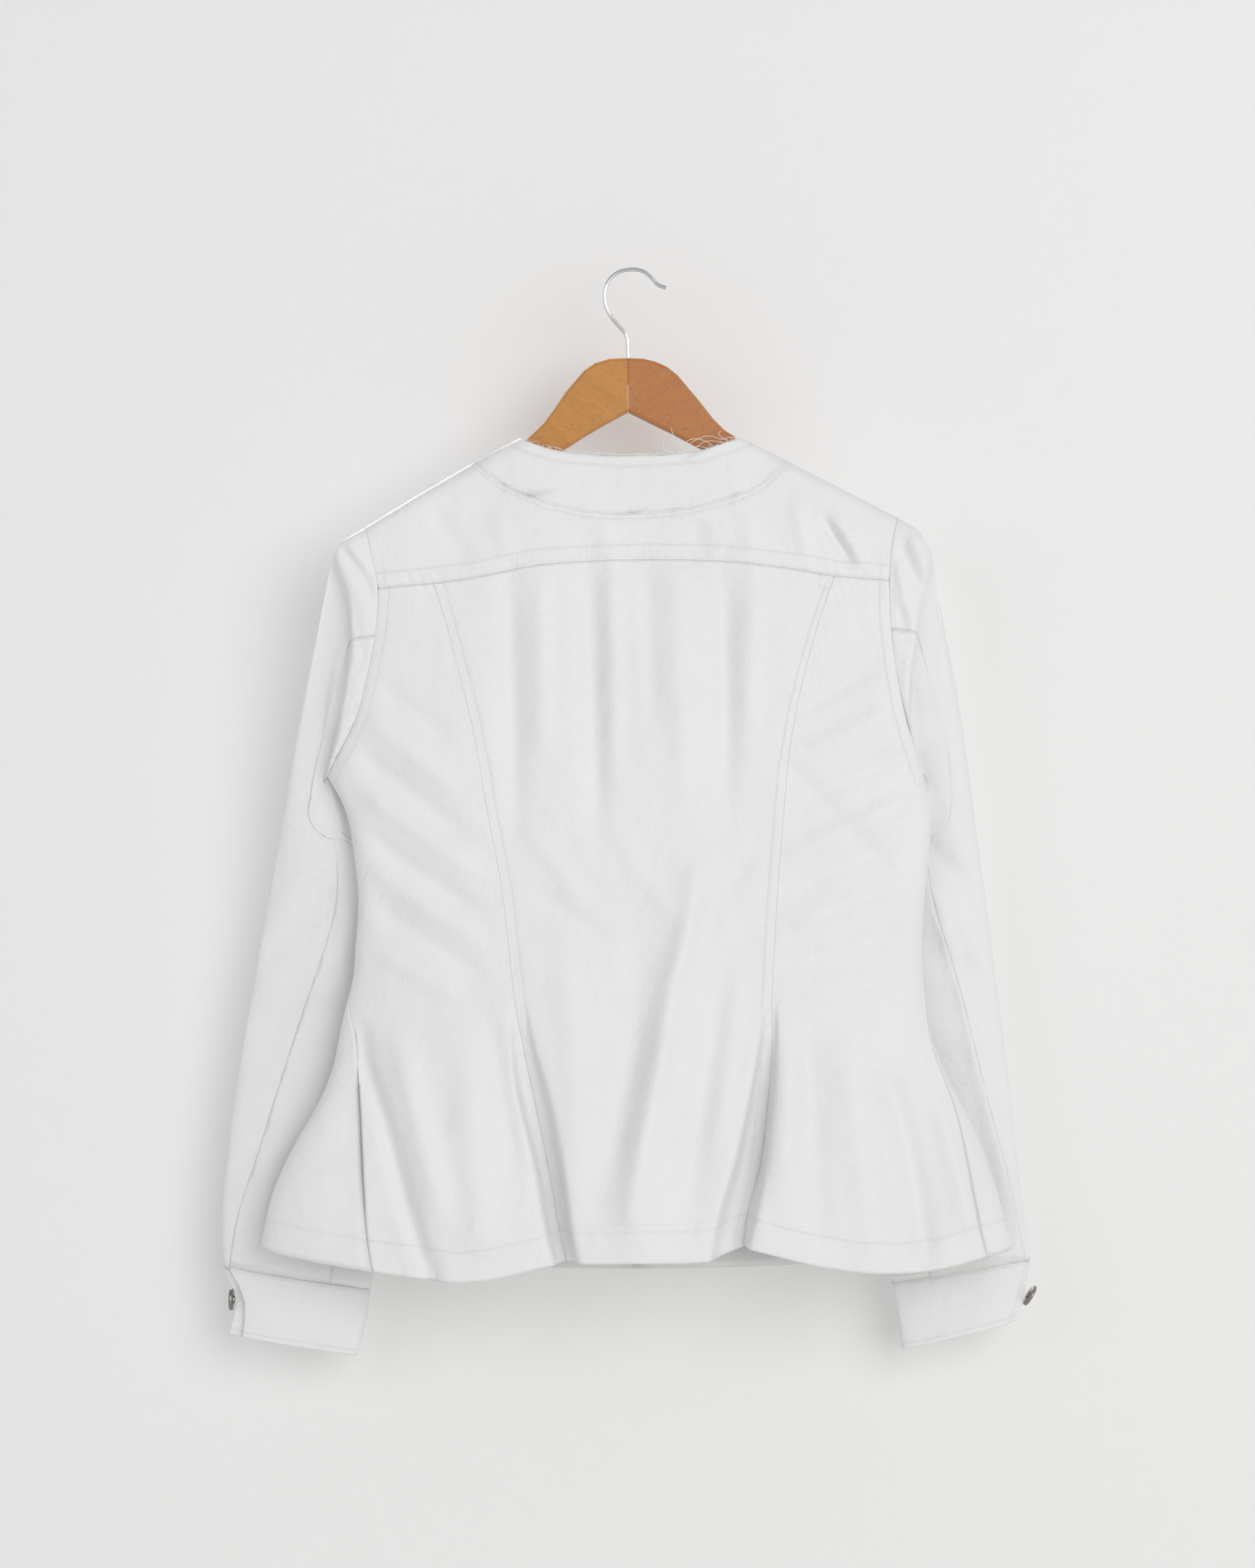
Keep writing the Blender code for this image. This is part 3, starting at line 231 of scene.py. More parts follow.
# Seam lines of the jacket, seen from behind, as (z, x left, x right) or (x, z).
sideEdges = (
    (-0.1925, -0.2012, 0.1990), (-0.2134, -0.1957, 0.1934), (-0.2422, -0.1903, 0.1915),
    (-0.2682, -0.1922, 0.1925), (-0.3014, -0.1982, 0.1963), (-0.3280, -0.2047, 0.2018),
    (-0.3513, -0.2139, 0.2080), (-0.3800, -0.2302, 0.2183), (-0.3926, -0.2200, 0.2232),
    (-0.4111, -0.2139, 0.2253), (-0.4425, -0.2096, 0.2228), (-0.4740, -0.2062, 0.2196),
    (-0.5110, -0.2095, 0.2182), (-0.5600, -0.2199, 0.2220), (-0.6011, -0.2270, 0.2345),
    (-0.6326, -0.2416, 0.2515), (-0.6641, -0.2590, 0.2655), (-0.7010, -0.2745, 0.2768),
    (-0.7450, -0.2829, 0.2872),
)
princessSeams = (
    (-0.2380, -0.1493, 0.1510), (-0.2650, -0.1406, 0.1412), (-0.3030, -0.1309, 0.1302),
    (-0.3345, -0.1227, 0.1226), (-0.3714, -0.1151, 0.1163), (-0.4050, -0.1098, 0.1130),
    (-0.4409, -0.1026, 0.1102), (-0.4740, -0.0967, 0.1075), (-0.5044, -0.0934, 0.1058),
    (-0.5549, -0.0874, 0.1032), (-0.5930, -0.0800, 0.1040), (-0.6330, -0.0716, 0.1005),
    (-0.6831, -0.0614, 0.0950), (-0.7195, -0.0554, 0.0850), (-0.7450, -0.0494, 0.0828),
)
yokeSeam = (
    (-0.1906, -0.2395), (-0.1499, -0.2357), (-0.1086, -0.2297), (-0.0760, -0.2221),
    (-0.0271, -0.2188), (0.0163, -0.2177), (0.0641, -0.2188), (0.1222, -0.2253),
    (0.1504, -0.2302), (0.1911, -0.2335),
)
hemLine = (
    (-0.2829, -0.7352), (-0.2563, -0.7390), (-0.2378, -0.7428), (-0.1938, -0.7488),
    (-0.1586, -0.7530), (-0.1265, -0.7567), (-0.0945, -0.7515), (-0.0570, -0.7425),
    (-0.0060, -0.7412), (0.0445, -0.7407), (0.0740, -0.7370), (0.0842, -0.7310),
    (0.1151, -0.7396), (0.1591, -0.7483), (0.1955, -0.7510), (0.2297, -0.7488),
    (0.2552, -0.7406), (0.2872, -0.7352),
)
neckRawEdge = (
    (-0.0854, -0.1259), (-0.0728, -0.1319), (-0.0543, -0.1367), (-0.0087, -0.1401),
    (0.0225, -0.1390), (0.0510, -0.1363), (0.0679, -0.1306), (0.0822, -0.1253),
)
neckSewnEdge = (
    (-0.1195, -0.1445), (-0.0983, -0.1624), (-0.0657, -0.1767), (-0.0342, -0.1835),
    (0.0054, -0.1849), (0.0440, -0.1803), (0.0750, -0.1722), (0.0956, -0.1629),
    (0.1162, -0.1428),
)
frontRawEdge = (
    (-0.0854, -0.1259), (-0.0800, -0.1560), (-0.0640, -0.1900), (-0.0360, -0.2150), (0.0000, -0.2240),
)
frontSewnEdge = (
    (-0.1195, -0.1445), (-0.1150, -0.1820), (-0.0920, -0.2220), (-0.0520, -0.2540), (0.0000, -0.2650),
)
elbowSeamLeft = (
    (-0.2020, -0.2740), (-0.2300, -0.4000), (-0.2460, -0.5413), (-0.2606, -0.5870),
    (-0.2753, -0.6282), (-0.2856, -0.6679), (-0.2938, -0.6907), (-0.3106, -0.7406),
)
elbowSeamRight = (
    (0.2010, -0.2690), (0.2180, -0.4300), (0.2329, -0.4915), (0.2498, -0.5452),
    (0.2601, -0.5870), (0.2704, -0.6244), (0.2807, -0.6619), (0.2894, -0.6907), (0.3041, -0.7428),
)


def between(rows, key, column=1):
    rows = sorted(rows)
    if key <= rows[0][0]:
        return rows[0][column]
    for low, high in zip(rows, rows[1:]):
        if key <= high[0]:
            share = (key - low[0]) / (high[0] - low[0])
            return low[column] + (high[column] - low[column]) * share
    return rows[-1][column]


def smooth(value):
    value = min(max(value, 0.0), 1.0)
    return value * value * (3 - 2 * value)


def lineFrom(rows, column, shift=0.0):
    return [(row[column] + shift, row[0]) for row in rows]


def distanceTo(line, x, z):
    best = 9.0
    for start, end in zip(line, line[1:]):
        if not (start and end):
            continue
        (ax, az), (bx, bz) = start, end
        dx, dz = bx - ax, bz - az
        share = min(max(((x - ax) * dx + (z - az) * dz) / (dx * dx + dz * dz), 0.0), 1.0)
        best = min(best, math.hypot(x - ax - dx * share, z - az - dz * share))
    return best


def offsetLine(line, shift):
    shifted = []
    for n, (x, z) in enumerate(line):
        ax, az = line[max(n - 1, 0)]
        bx, bz = line[min(n + 1, len(line) - 1)]
        length = math.hypot(bx - ax, bz - az)
        shifted.append((x - (bz - az) / length * shift, z + (bx - ax) / length * shift))
    return shifted


# Folds of the hanging cloth: upper end, lower end, half width, height.
backCreases = {
    "yoke": (
        (0.1440, -0.1890, 0.1640, -0.2215, 0.0045, -0.0022),
        (0.1500, -0.1840, 0.1720, -0.2200, 0.0060, 0.0016),
        (0.1220, -0.1760, 0.1300, -0.2160, 0.0070, 0.0010),
        (-0.1500, -0.1820, -0.1250, -0.2180, 0.0080, -0.0010),
        (-0.1020, -0.1860, -0.0930, -0.2190, 0.0070, 0.0008),
        (0.0480, -0.1900, 0.0520, -0.2140, 0.0060, -0.0008),
        (-0.0200, -0.1900, -0.0210, -0.2150, 0.0080, 0.0007),
        (0.0850, -0.1850, 0.0900, -0.2160, 0.0060, 0.0008),
    ),
    "centre": (
        (-0.0930, -0.2300, -0.0880, -0.4050, 0.0085, -0.0022),
        (-0.0700, -0.2300, -0.0680, -0.3600, 0.0080, 0.0014),
        (-0.0330, -0.2250, -0.0270, -0.4100, 0.0090, -0.0024),
        (-0.0160, -0.2250, -0.0140, -0.3700, 0.0080, 0.0016),
        (0.0100, -0.2250, 0.0160, -0.3300, 0.0080, -0.0012),
        (0.0330, -0.2250, 0.0390, -0.3900, 0.0100, 0.0014),
        (0.0690, -0.2300, 0.0700, -0.3900, 0.0085, -0.0022),
        (0.0900, -0.2350, 0.0860, -0.3500, 0.0080, 0.0012),
        (0.0470, -0.4480, 0.0430, -0.4850, 0.0090, 0.0016),
        (0.0430, -0.4850, 0.0290, -0.5330, 0.0085, 0.0024),
        (0.0290, -0.5330, 0.0170, -0.6030, 0.0090, 0.0026),
        (0.0170, -0.6030, 0.0040, -0.6630, 0.0090, 0.0022),
        (0.0040, -0.6630, -0.0030, -0.7100, 0.0090, 0.0016),
        (0.0060, -0.5600, -0.0150, -0.6700, 0.0100, -0.0020),
        (-0.0500, -0.5200, -0.0360, -0.6900, 0.0120, 0.0014),
        (0.0620, -0.5600, 0.0400, -0.7000, 0.0110, -0.0016),
        (0.0780, -0.5300, 0.0620, -0.6500, 0.0090, 0.0014),
        (-0.0780, -0.4200, -0.0400, -0.4700, 0.0080, 0.0010),
        (-0.0700, -0.4700, -0.0200, -0.5000, 0.0080, -0.0009),
        (0.0880, -0.4400, 0.0500, -0.4900, 0.0080, -0.0010),
        (-0.0100, -0.4300, 0.0250, -0.4800, 0.0090, 0.0009),
    ),
    "leftSide": (
        (-0.2060, -0.5650, -0.1990, -0.5970, 0.0070, -0.0020),
        (-0.1990, -0.5970, -0.1850, -0.6370, 0.0070, -0.0030),
        (-0.1850, -0.6370, -0.1730, -0.6800, 0.0070, -0.0034),
        (-0.1730, -0.6800, -0.1590, -0.7280, 0.0070, -0.0034),
        (-0.1590, -0.7280, -0.1480, -0.7560, 0.0070, -0.0026),
        (-0.1740, -0.5800, -0.1440, -0.7000, 0.0100, 0.0026),
        (-0.2160, -0.6050, -0.2300, -0.7200, 0.0110, 0.0026),
        (-0.2380, -0.6350, -0.2560, -0.7250, 0.0090, -0.0018),
        (-0.1250, -0.5900, -0.1120, -0.7300, 0.0130, 0.0020),
        (-0.1050, -0.5700, -0.0880, -0.6700, 0.0090, -0.0018),
        (-0.2000, -0.3050, -0.1400, -0.3500, 0.0080, -0.0013),
        (-0.2050, -0.3300, -0.1330, -0.3900, 0.0080, 0.0015),
        (-0.2080, -0.3600, -0.1250, -0.4250, 0.0080, -0.0016),
        (-0.2060, -0.3900, -0.1200, -0.4500, 0.0085, 0.0018),
        (-0.2040, -0.4220, -0.1180, -0.4800, 0.0080, -0.0018),
        (-0.2010, -0.4480, -0.1120, -0.5050, 0.0080, 0.0016),
        (-0.2000, -0.4750, -0.1150, -0.5280, 0.0080, -0.0014),
        (-0.2030, -0.5050, -0.1250, -0.5480, 0.0080, 0.0012),
    ),
    "rightSide": (
        (0.1900, -0.6000, 0.2080, -0.6700, 0.0090, -0.0026),
        (0.2080, -0.6700, 0.2200, -0.7400, 0.0090, -0.0028),
        (0.1620, -0.5850, 0.1780, -0.7300, 0.0130, 0.0026),
        (0.1320, -0.5800, 0.1380, -0.7200, 0.0110, -0.0020),
        (0.1160, -0.5900, 0.1100, -0.6900, 0.0090, 0.0018),
        (0.2300, -0.6200, 0.2520, -0.7200, 0.0090, 0.0022),
        (0.1240, -0.3300, 0.1980, -0.2900, 0.0080, -0.0012),
        (0.1280, -0.3650, 0.2050, -0.3250, 0.0080, 0.0014),
        (0.1220, -0.4000, 0.2120, -0.3600, 0.0085, -0.0016),
        (0.1180, -0.3750, 0.1950, -0.4550, 0.0085, -0.0014),
        (0.1250, -0.4350, 0.2120, -0.3950, 0.0085, 0.0018),
        (0.1200, -0.4650, 0.2080, -0.4250, 0.0085, -0.0016),
        (0.1180, -0.4900, 0.2060, -0.4600, 0.0080, 0.0014),
        (0.1220, -0.5200, 0.2060, -0.4950, 0.0085, -0.0013),
        (0.1300, -0.5450, 0.2050, -0.5250, 0.0090, 0.0012),
    ),
}
leftSleeveCreases = (
    (-0.2190, -0.2080, -0.1930, -0.2440, 0.0045, -0.0032),
    (-0.2140, -0.2040, -0.1960, -0.2280, 0.0040, 0.0026),
    (-0.2080, -0.2500, -0.2010, -0.3000, 0.0040, -0.0016),
    (-0.2200, -0.4300, -0.2700, -0.4800, 0.0080, 0.0022),
    (-0.2150, -0.4650, -0.2780, -0.5150, 0.0080, -0.0024),
    (-0.2100, -0.5050, -0.2820, -0.5400, 0.0085, 0.0022),
    (-0.2050, -0.5450, -0.2880, -0.5700, 0.0085, -0.0022),
    (-0.2000, -0.5850, -0.2900, -0.6100, 0.0080, 0.0018),
    (-0.2600, -0.6200, -0.2980, -0.6800, 0.0090, -0.0016),
    (-0.2350, -0.6300, -0.2500, -0.7350, 0.0110, 0.0022),
    (-0.2150, -0.6600, -0.2220, -0.7450, 0.0090, -0.0020),
    (-0.2750, -0.6700, -0.2850, -0.7450, 0.0080, 0.0018),
)
rightSleeveCreases = (
    (0.1990, -0.2050, 0.2160, -0.2420, 0.0045, -0.0036),
    (0.2080, -0.2000, 0.2230, -0.2330, 0.0045, 0.0028),
    (0.1960, -0.2200, 0.2060, -0.2600, 0.0040, 0.0024),
    (0.2000, -0.2550, 0.2080, -0.2900, 0.0040, -0.0022),
    (0.2180, -0.4250, 0.2560, -0.4650, 0.0080, -0.0020),
    (0.2150, -0.4600, 0.2620, -0.5050, 0.0080, 0.0022),
    (0.2120, -0.5000, 0.2680, -0.5400, 0.0085, -0.0020),
    (0.2320, -0.4800, 0.2500, -0.5450, 0.0060, 0.0026),
    (0.2500, -0.5450, 0.2640, -0.6100, 0.0060, 0.0028),
    (0.2640, -0.6100, 0.2820, -0.6850, 0.0060, 0.0024),
    (0.2100, -0.5600, 0.2600, -0.5900, 0.0085, 0.0018),
    (0.2150, -0.6200, 0.2450, -0.7100, 0.0110, -0.0022),
    (0.2350, -0.6600, 0.2600, -0.7400, 0.0090, 0.0020),
    (0.2700, -0.6900, 0.2850, -0.7400, 0.0080, -0.0018),
)
frontCreases = (
    (-0.1500, -0.2600, -0.0900, -0.4500, 0.0140, 0.0024),
    (-0.1100, -0.2900, -0.0600, -0.5200, 0.0140, -0.0020),
    (0.1450, -0.2600, 0.0950, -0.4700, 0.0140, 0.0022),
    (0.1000, -0.2900, 0.0650, -0.5000, 0.0140, -0.0020),
    (-0.1900, -0.4100, -0.1100, -0.4800, 0.0110, -0.0022),
    (-0.1850, -0.4500, -0.1000, -0.5300, 0.0110, 0.0020),
    (0.1900, -0.4200, 0.1150, -0.4900, 0.0110, -0.0022),
    (0.1850, -0.4650, 0.1050, -0.5400, 0.0110, 0.0020),
    (-0.2000, -0.5800, -0.2150, -0.7400, 0.0160, 0.0034),
    (-0.1450, -0.5900, -0.1350, -0.7400, 0.0170, -0.0028),
    (-0.0850, -0.6000, -0.0700, -0.7400, 0.0150, 0.0026),
    (0.2000, -0.5800, 0.2200, -0.7400, 0.0160, 0.0032),
    (0.1500, -0.5900, 0.1450, -0.7400, 0.0170, -0.0028),
    (0.0900, -0.6000, 0.0800, -0.7400, 0.0150, 0.0024),
)


def creaseHeight(creases, x, z):
    total = 0.0
    for x0, z0, x1, z1, halfWidth, height in creases:
        length = math.hypot(x1 - x0, z1 - z0)
        ux, uz = (x1 - x0) / length, (z1 - z0) / length
        run = ((x - x0) * ux + (z - z0) * uz) / length
        if not -0.25 < run < 1.25:
            continue
        side = ((x - x0) * uz - (z - z0) * ux) / halfWidth
        if abs(side) > 3.2:
            continue
        ends = smooth((run + 0.22) / 0.44) * smooth((1.22 - run) / 0.44)
        total += height * ends * math.exp(-side * side)
    return total


allBackCreases = [crease for group in backCreases.values() for crease in group]
foldLaying = {
    "backStrength": 2.2,
    "edgeFade": 0.030,
    "neckTop": -0.128,
    "neckFade": 0.020,
    "skirtTop": -0.56,
    "skirtFade": 0.12,
    "frontNeckTop": -0.15,
    "frontNeckFade": 0.05,
    "placketHalf": 0.004,
    "placketFade": 0.035,
    "sleeveTurn": 0.009,
}

# puckers of the sewn lines: which line, reach, wave along x, wave along z, height
seamPuckers = (
    (yokeSeam, 0.013, 210.0, 60.0, 0.00085),
    (neckSewnEdge, 0.017, 62.0, 40.0, 0.00095),
    (neckSewnEdge, 0.007, 190.0, 90.0, 0.00060),
    (neckRawEdge, 0.009, 170.0, 90.0, 0.00060),
    (lineFrom(princessSeams, 1), 0.009, 60.0, 170.0, 0.00075),
    (lineFrom(princessSeams, 2), 0.009, 60.0, 170.0, 0.00075),
    (lineFrom(sideEdges[:8], 1), 0.010, 60.0, 150.0, 0.00060),
    (lineFrom(sideEdges[:8], 2), 0.010, 60.0, 150.0, 0.00060),
    (offsetLine(hemLine, 0.023), 0.009, 130.0, 50.0, 0.00070),
)


def puckerHeight(x, z):
    total = 0.0
    for n, (line, reach, waveX, waveZ, height) in enumerate(seamPuckers):
        gap = distanceTo(line, x, z) / reach
        if gap < 2.2:
            place = Vector((x * waveX + z * waveX * 0.35, z * waveZ, n * 7.3))
            total += noise.noise(place) * height * math.exp(-gap * gap)
    return total


def sideRoom(x, z):
    return min(x - between(sideEdges, z, 1), between(sideEdges, z, 2) - x)


def backHeight(x, z):
    fade = smooth(sideRoom(x, z) / foldLaying["edgeFade"])
    fade *= smooth((foldLaying["neckTop"] - z) / foldLaying["neckFade"])
    soft = noise.noise(Vector((x * 16, z * 9, 0.3))) * 0.0014 + puckerHeight(x, z)
    soft += noise.noise(Vector((x * 42 + z * 15, z * 26, 4.1))) * 0.0007
    skirt = smooth((foldLaying["skirtTop"] - z) / foldLaying["skirtFade"])
    soft += noise.noise(Vector((x * 26, z * 7, 8.0))) * 0.0016 * skirt
    return (creaseHeight(allBackCreases, x, z) * foldLaying["backStrength"] + soft) * fade


def frontHeight(x, z):
    fade = smooth(sideRoom(x, z) / foldLaying["edgeFade"])
    fade *= smooth((foldLaying["frontNeckTop"] - z) / foldLaying["frontNeckFade"])
    fade *= smooth((abs(x) - foldLaying["placketHalf"]) / foldLaying["placketFade"])
    soft = noise.noise(Vector((x * 14 + 5, z * 8, 2.3))) * 0.0016
    return (creaseHeight(frontCreases, x, z) + soft) * fade


# where the strip of sleeve beside each armhole ends, and how deep the sleeve beyond it lies
underarmEdge = {
    -1: ((-0.3100, -0.2155), (-0.3400, -0.2190), (-0.3560, -0.2232), (-0.3810, -0.2300), (-0.4000, -0.2245),
         (-0.4235, -0.2150), (-0.4500, -0.2100)),
    1: ((-0.2755, 0.2110), (-0.3000, 0.2075), (-0.3353, 0.2060), (-0.3527, 0.2085), (-0.3800, 0.2165),
        (-0.3926, 0.2205), (-0.4111, 0.2225), (-0.4425, 0.2200), (-0.4600, 0.2180)),
}
underarmDepth = ((-0.465, 0.0170), (-0.450, 0.0162), (-0.435, 0.0146), (-0.420, 0.0126), (-0.405, 0.0113),
                 (-0.390, 0.0103), (-0.375, 0.0092), (-0.360, 0.0077), (-0.345, 0.0062), (-0.330, 0.0050),
                 (-0.300, 0.0030), (-0.280, 0.0020))
underarm = {"top": {-1: -0.315, 1: -0.290}, "topFade": 0.04, "end": 0.465, "endFade": 0.02,
            "edgeFade": 0.0035, "flattening": 0.92}


def flattenUnderarm(side, x, y, z):
    level = between(underarmDepth, z)
    over = abs(x) - abs(between(underarmEdge[side], z))
    if y > level or over < 0:
        return y
    nearness = smooth((underarm["top"][side] - z) / underarm["topFade"])
    nearness *= smooth((z + underarm["end"]) / underarm["endFade"]) * smooth(over / underarm["edgeFade"])
    return y + (level - y) * underarm["flattening"] * nearness


# how deep the middle of each sleeve hangs, from the cuff up
sleeveMiddle = (
    (-0.75, 0.0320), (-0.70, 0.0328), (-0.52, 0.0340), (-0.48, 0.0315), (-0.45, 0.0285),
    (-0.43, 0.0250), (-0.38, 0.0120), (-0.30, 0.0040), (-0.19, 0.0),
)


def sleeveHeight(side, x, z):
    creases = leftSleeveCreases if side < 0 else rightSleeveCreases
    armholeGap = abs(x) - abs(between(sideEdges, z, 1 if side < 0 else 2))
    fade = smooth((-0.400 - z) / 0.04) * smooth((z + 0.757) / 0.02)
    fade = max(fade, smooth((armholeGap - 0.001) / 0.006) * smooth((z + 0.34) / 0.04) * 0.8)
    soft = noise.noise(Vector((x * 24 + 9 * side, z * 17, 1.7))) * 0.0018
    return (creaseHeight(creases, x, z) + soft) * fade


# The cloth pieces: each solid's own wall, made finer, with its flat cut.
clothSizes = {
    "back_yoke": {"levels": 3, "flat": (0.400, 0.100), "area": 0.0240},
    "neck_band_back": {"levels": 3, "flat": (0.260, 0.046), "area": 0.0100},
    "back_centre": {"levels": 3, "flat": (0.300, 0.525), "area": 0.1150},
    "back_side_left": {"levels": 3, "flat": (0.215, 0.525), "area": 0.0620},
    "back_side_right": {"levels": 3, "flat": (0.215, 0.525), "area": 0.0640},
    "front_left": {"levels": 2, "flat": (0.335, 0.610), "area": 0.1335},
    "front_right": {"levels": 2, "flat": (0.335, 0.610), "area": 0.1290},
    "neck_band_front_left": {"levels": 3, "flat": (0.190, 0.046), "area": 0.0072},
    "neck_band_front_right": {"levels": 3, "flat": (0.190, 0.046), "area": 0.0072},
    "front_placket": {"levels": 2, "flat": (0.046, 0.540), "area": 0.0247},
    "sleeve_upper_left": {"levels": 3, "flat": (0.230, 0.590), "area": 0.0930},
    "sleeve_upper_right": {"levels": 3, "flat": (0.230, 0.590), "area": 0.0820},
    "sleeve_under_left": {"levels": 2, "flat": (0.100, 0.500), "area": 0.0270},
    "sleeve_under_right": {"levels": 2, "flat": (0.100, 0.500), "area": 0.0270},
    "cuff_left": {"levels": 3, "flat": (0.235, 0.053), "area": 0.0117},
    "cuff_right": {"levels": 3, "flat": (0.220, 0.053), "area": 0.0107},
}
clothMaking = {
    "thinnestRim": 0.0026,
    "rimAngle": 55,
    "seamClosing": 0.00013,  # each side of a seam, so that a fine line is left
    "sleeveSeamClosing": 0.00019,
    "quadAngle": 50,
    "quadShape": 70,
    "weldDistance": 0.00002,
    "sharpAngle": 60,
}


def shortestEdge(face):
    return min(edge.calc_length() for edge in face.edges)


def rimEdges(bm):
    marked = []
    for edge in bm.edges:
        if len(edge.link_faces) != 2 or edge.calc_face_angle(0.0) < math.radians(clothMaking["rimAngle"]):
            continue
        if any(shortestEdge(face) < clothMaking["thinnestRim"] for face in edge.link_faces):
            marked.append(edge)
    return marked


def closeSeams(bm, rims, closing):
    marked = set(rims)
    pushes = {}
    for face in bm.faces:
        if sum(edge in marked for edge in face.edges) < 2 or shortestEdge(face) > clothMaking["thinnestRim"]:
            continue
        for vert in face.verts:
            pushes[vert] = pushes.get(vert, Vector()) + face.normal
    for vert, push in pushes.items():
        vert.co += push.normalized() * closing


def clothShell(name):
    bm = bmesh.new()
    bm.from_mesh(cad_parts[name].data)
    bmesh.ops.remove_doubles(bm, verts=bm.verts, dist=clothMaking["weldDistance"])
    bmesh.ops.join_triangles(bm, faces=bm.faces, angle_face_threshold=math.radians(clothMaking["quadAngle"]),
                             angle_shape_threshold=math.radians(clothMaking["quadShape"]))
    hold = bm.edges.layers.float.new("crease_edge")
    rims = rimEdges(bm)
    closeSeams(bm, rims, clothMaking["sleeveSeamClosing" if name.startswith("sleeve") else "seamClosing"])
    for edge in rims:
        edge[hold] = 1.0
    mesh = bpy.data.meshes.new(name + "Coarse")
    bm.to_mesh(mesh)
    bm.free()
    coarse = bpy.data.objects.new(name + "Coarse", mesh)
    scene.collection.objects.link(coarse)
    finer = coarse.modifiers.new("finer", "SUBSURF")
    finer.levels = finer.render_levels = clothSizes[name]["levels"]
    bpy.context.view_layer.update()
    fine = bpy.data.meshes.new_from_object(coarse.evaluated_get(bpy.context.evaluated_depsgraph_get()))
    bpy.data.objects.remove(coarse)
    fine.name = name + "Cloth"
    fine.materials.clear()
    thing = bpy.data.objects.new(name + "_cloth", fine)
    scene.collection.objects.link(thing)
    return thing


def layFolds(thing, name):
    for vert in thing.data.vertices:
        x, y, z = vert.co
        if name.startswith("sleeve"):
            side = -1 if name.endswith("left") else 1
            y = vert.co.y = flattenUnderarm(side, x, y, z)
            turn = min(max((between(sleeveMiddle, z) - y) / foldLaying["sleeveTurn"], -1.0), 1.0)
            if turn > 0:
                vert.co.y -= sleeveHeight(side, x, z) * turn
            else:
                vert.co.y -= sleeveHeight(side, x + 0.02, z - 0.03) * turn
        elif name.startswith("cuff"):
            vert.co.y += noise.noise(Vector((x * 30, y * 60, z * 22))) * 0.0008
        elif name.startswith(("front", "neck_band_front")):
            vert.co.y += frontHeight(x, z)
        else:
            vert.co.y -= backHeight(x, z)


def storeDistances(thing, lines):
    store = thing.data.attributes.new("seams", "FLOAT_VECTOR", "POINT")
    values = []
    for vert in thing.data.vertices:
        x, _, z = vert.co
        for line in lines:
            values.append(distanceTo(line, x, z) if line else 1.0)
    store.data.foreach_set("vector", values)


leftPrincess = lineFrom(princessSeams, 1)
rightPrincess = lineFrom(princessSeams, 2)
leftArmhole = lineFrom(sideEdges[:8], 1)
rightArmhole = lineFrom(sideEdges[:8], 2)
leftCuffSeam = ((-0.3130, -0.7530), (-0.1980, -0.7705))
rightCuffSeam = ((0.3040, -0.7475), (0.1950, -0.7650))
mirroredRaw = [(-x, z) for x, z in reversed(frontRawEdge)]
mirroredSewn = [(-x, z) for x, z in reversed(frontSewnEdge)]
seamLines = {
    "back_yoke": (neckSewnEdge, yokeSeam, leftArmhole + [None] + rightArmhole),
    "neck_band_back": (neckSewnEdge, neckRawEdge, None),
    "back_centre": (leftPrincess + [None] + rightPrincess, yokeSeam, hemLine),
    "back_side_left": (leftPrincess, leftArmhole, hemLine),
    "back_side_right": (rightPrincess, rightArmhole, hemLine),
    "front_left": (frontSewnEdge, leftArmhole, hemLine),
    "front_right": (mirroredSewn, rightArmhole, hemLine),
    "neck_band_front_left": (frontSewnEdge, frontRawEdge, None),
    "neck_band_front_right": (mirroredSewn, mirroredRaw, None),
    "front_placket": (((-0.0225, -0.22), (-0.0225, -0.76)), ((0.0225, -0.22), (0.0225, -0.76)), None),
    "sleeve_upper_left": (elbowSeamLeft, leftCuffSeam, leftArmhole),
    "sleeve_under_left": (elbowSeamLeft, leftCuffSeam, leftArmhole),
    "sleeve_upper_right": (elbowSeamRight, rightCuffSeam, rightArmhole),
    "sleeve_under_right": (elbowSeamRight, rightCuffSeam, rightArmhole),
    "cuff_left": (leftCuffSeam, ((-0.3079, -0.8047), (-0.2093, -0.8207)), None),
    "cuff_right": (rightCuffSeam, ((0.2932, -0.7944), (0.2047, -0.8164)), None),
}

# how far each piece's stitch rows lie from its three seams, and how much the cloth puckers there
stitchGrooves = {
    "back_yoke": ((0.0030, 0.0115, 0.9), 1.1),
    "neck_band_back": ((0.0016, 0.0080, 0.9), 1.0),
    "back_centre": ((0.0075, 0.9, 0.0230), 1.0),
    "back_side_left": ((0.9, 0.0075, 0.0230), 0.9),
    "back_side_right": ((0.9, 0.0075, 0.0230), 0.9),
    "front_left": ((0.9, 0.0075, 0.0230), 0.8),
    "front_right": ((0.9, 0.0075, 0.0230), 0.8),
    "neck_band_front_left": ((0.0016, 0.0080, 0.9), 1.0),
    "neck_band_front_right": ((0.0016, 0.0080, 0.9), 1.0),
    "front_placket": ((0.0030, 0.0030, 0.9), 0.7),
    "sleeve_upper_left": ((0.9, 0.9, 0.9), 1.2),
    "sleeve_under_left": ((0.9, 0.9, 0.9), 1.2),
    "sleeve_upper_right": ((0.9, 0.9, 0.9), 1.2),
    "sleeve_under_right": ((0.9, 0.9, 0.9), 1.2),
    "cuff_left": ((0.0020, 0.0040, 0.9), 0.8),
    "cuff_right": ((0.0020, 0.0040, 0.9), 0.8),
}


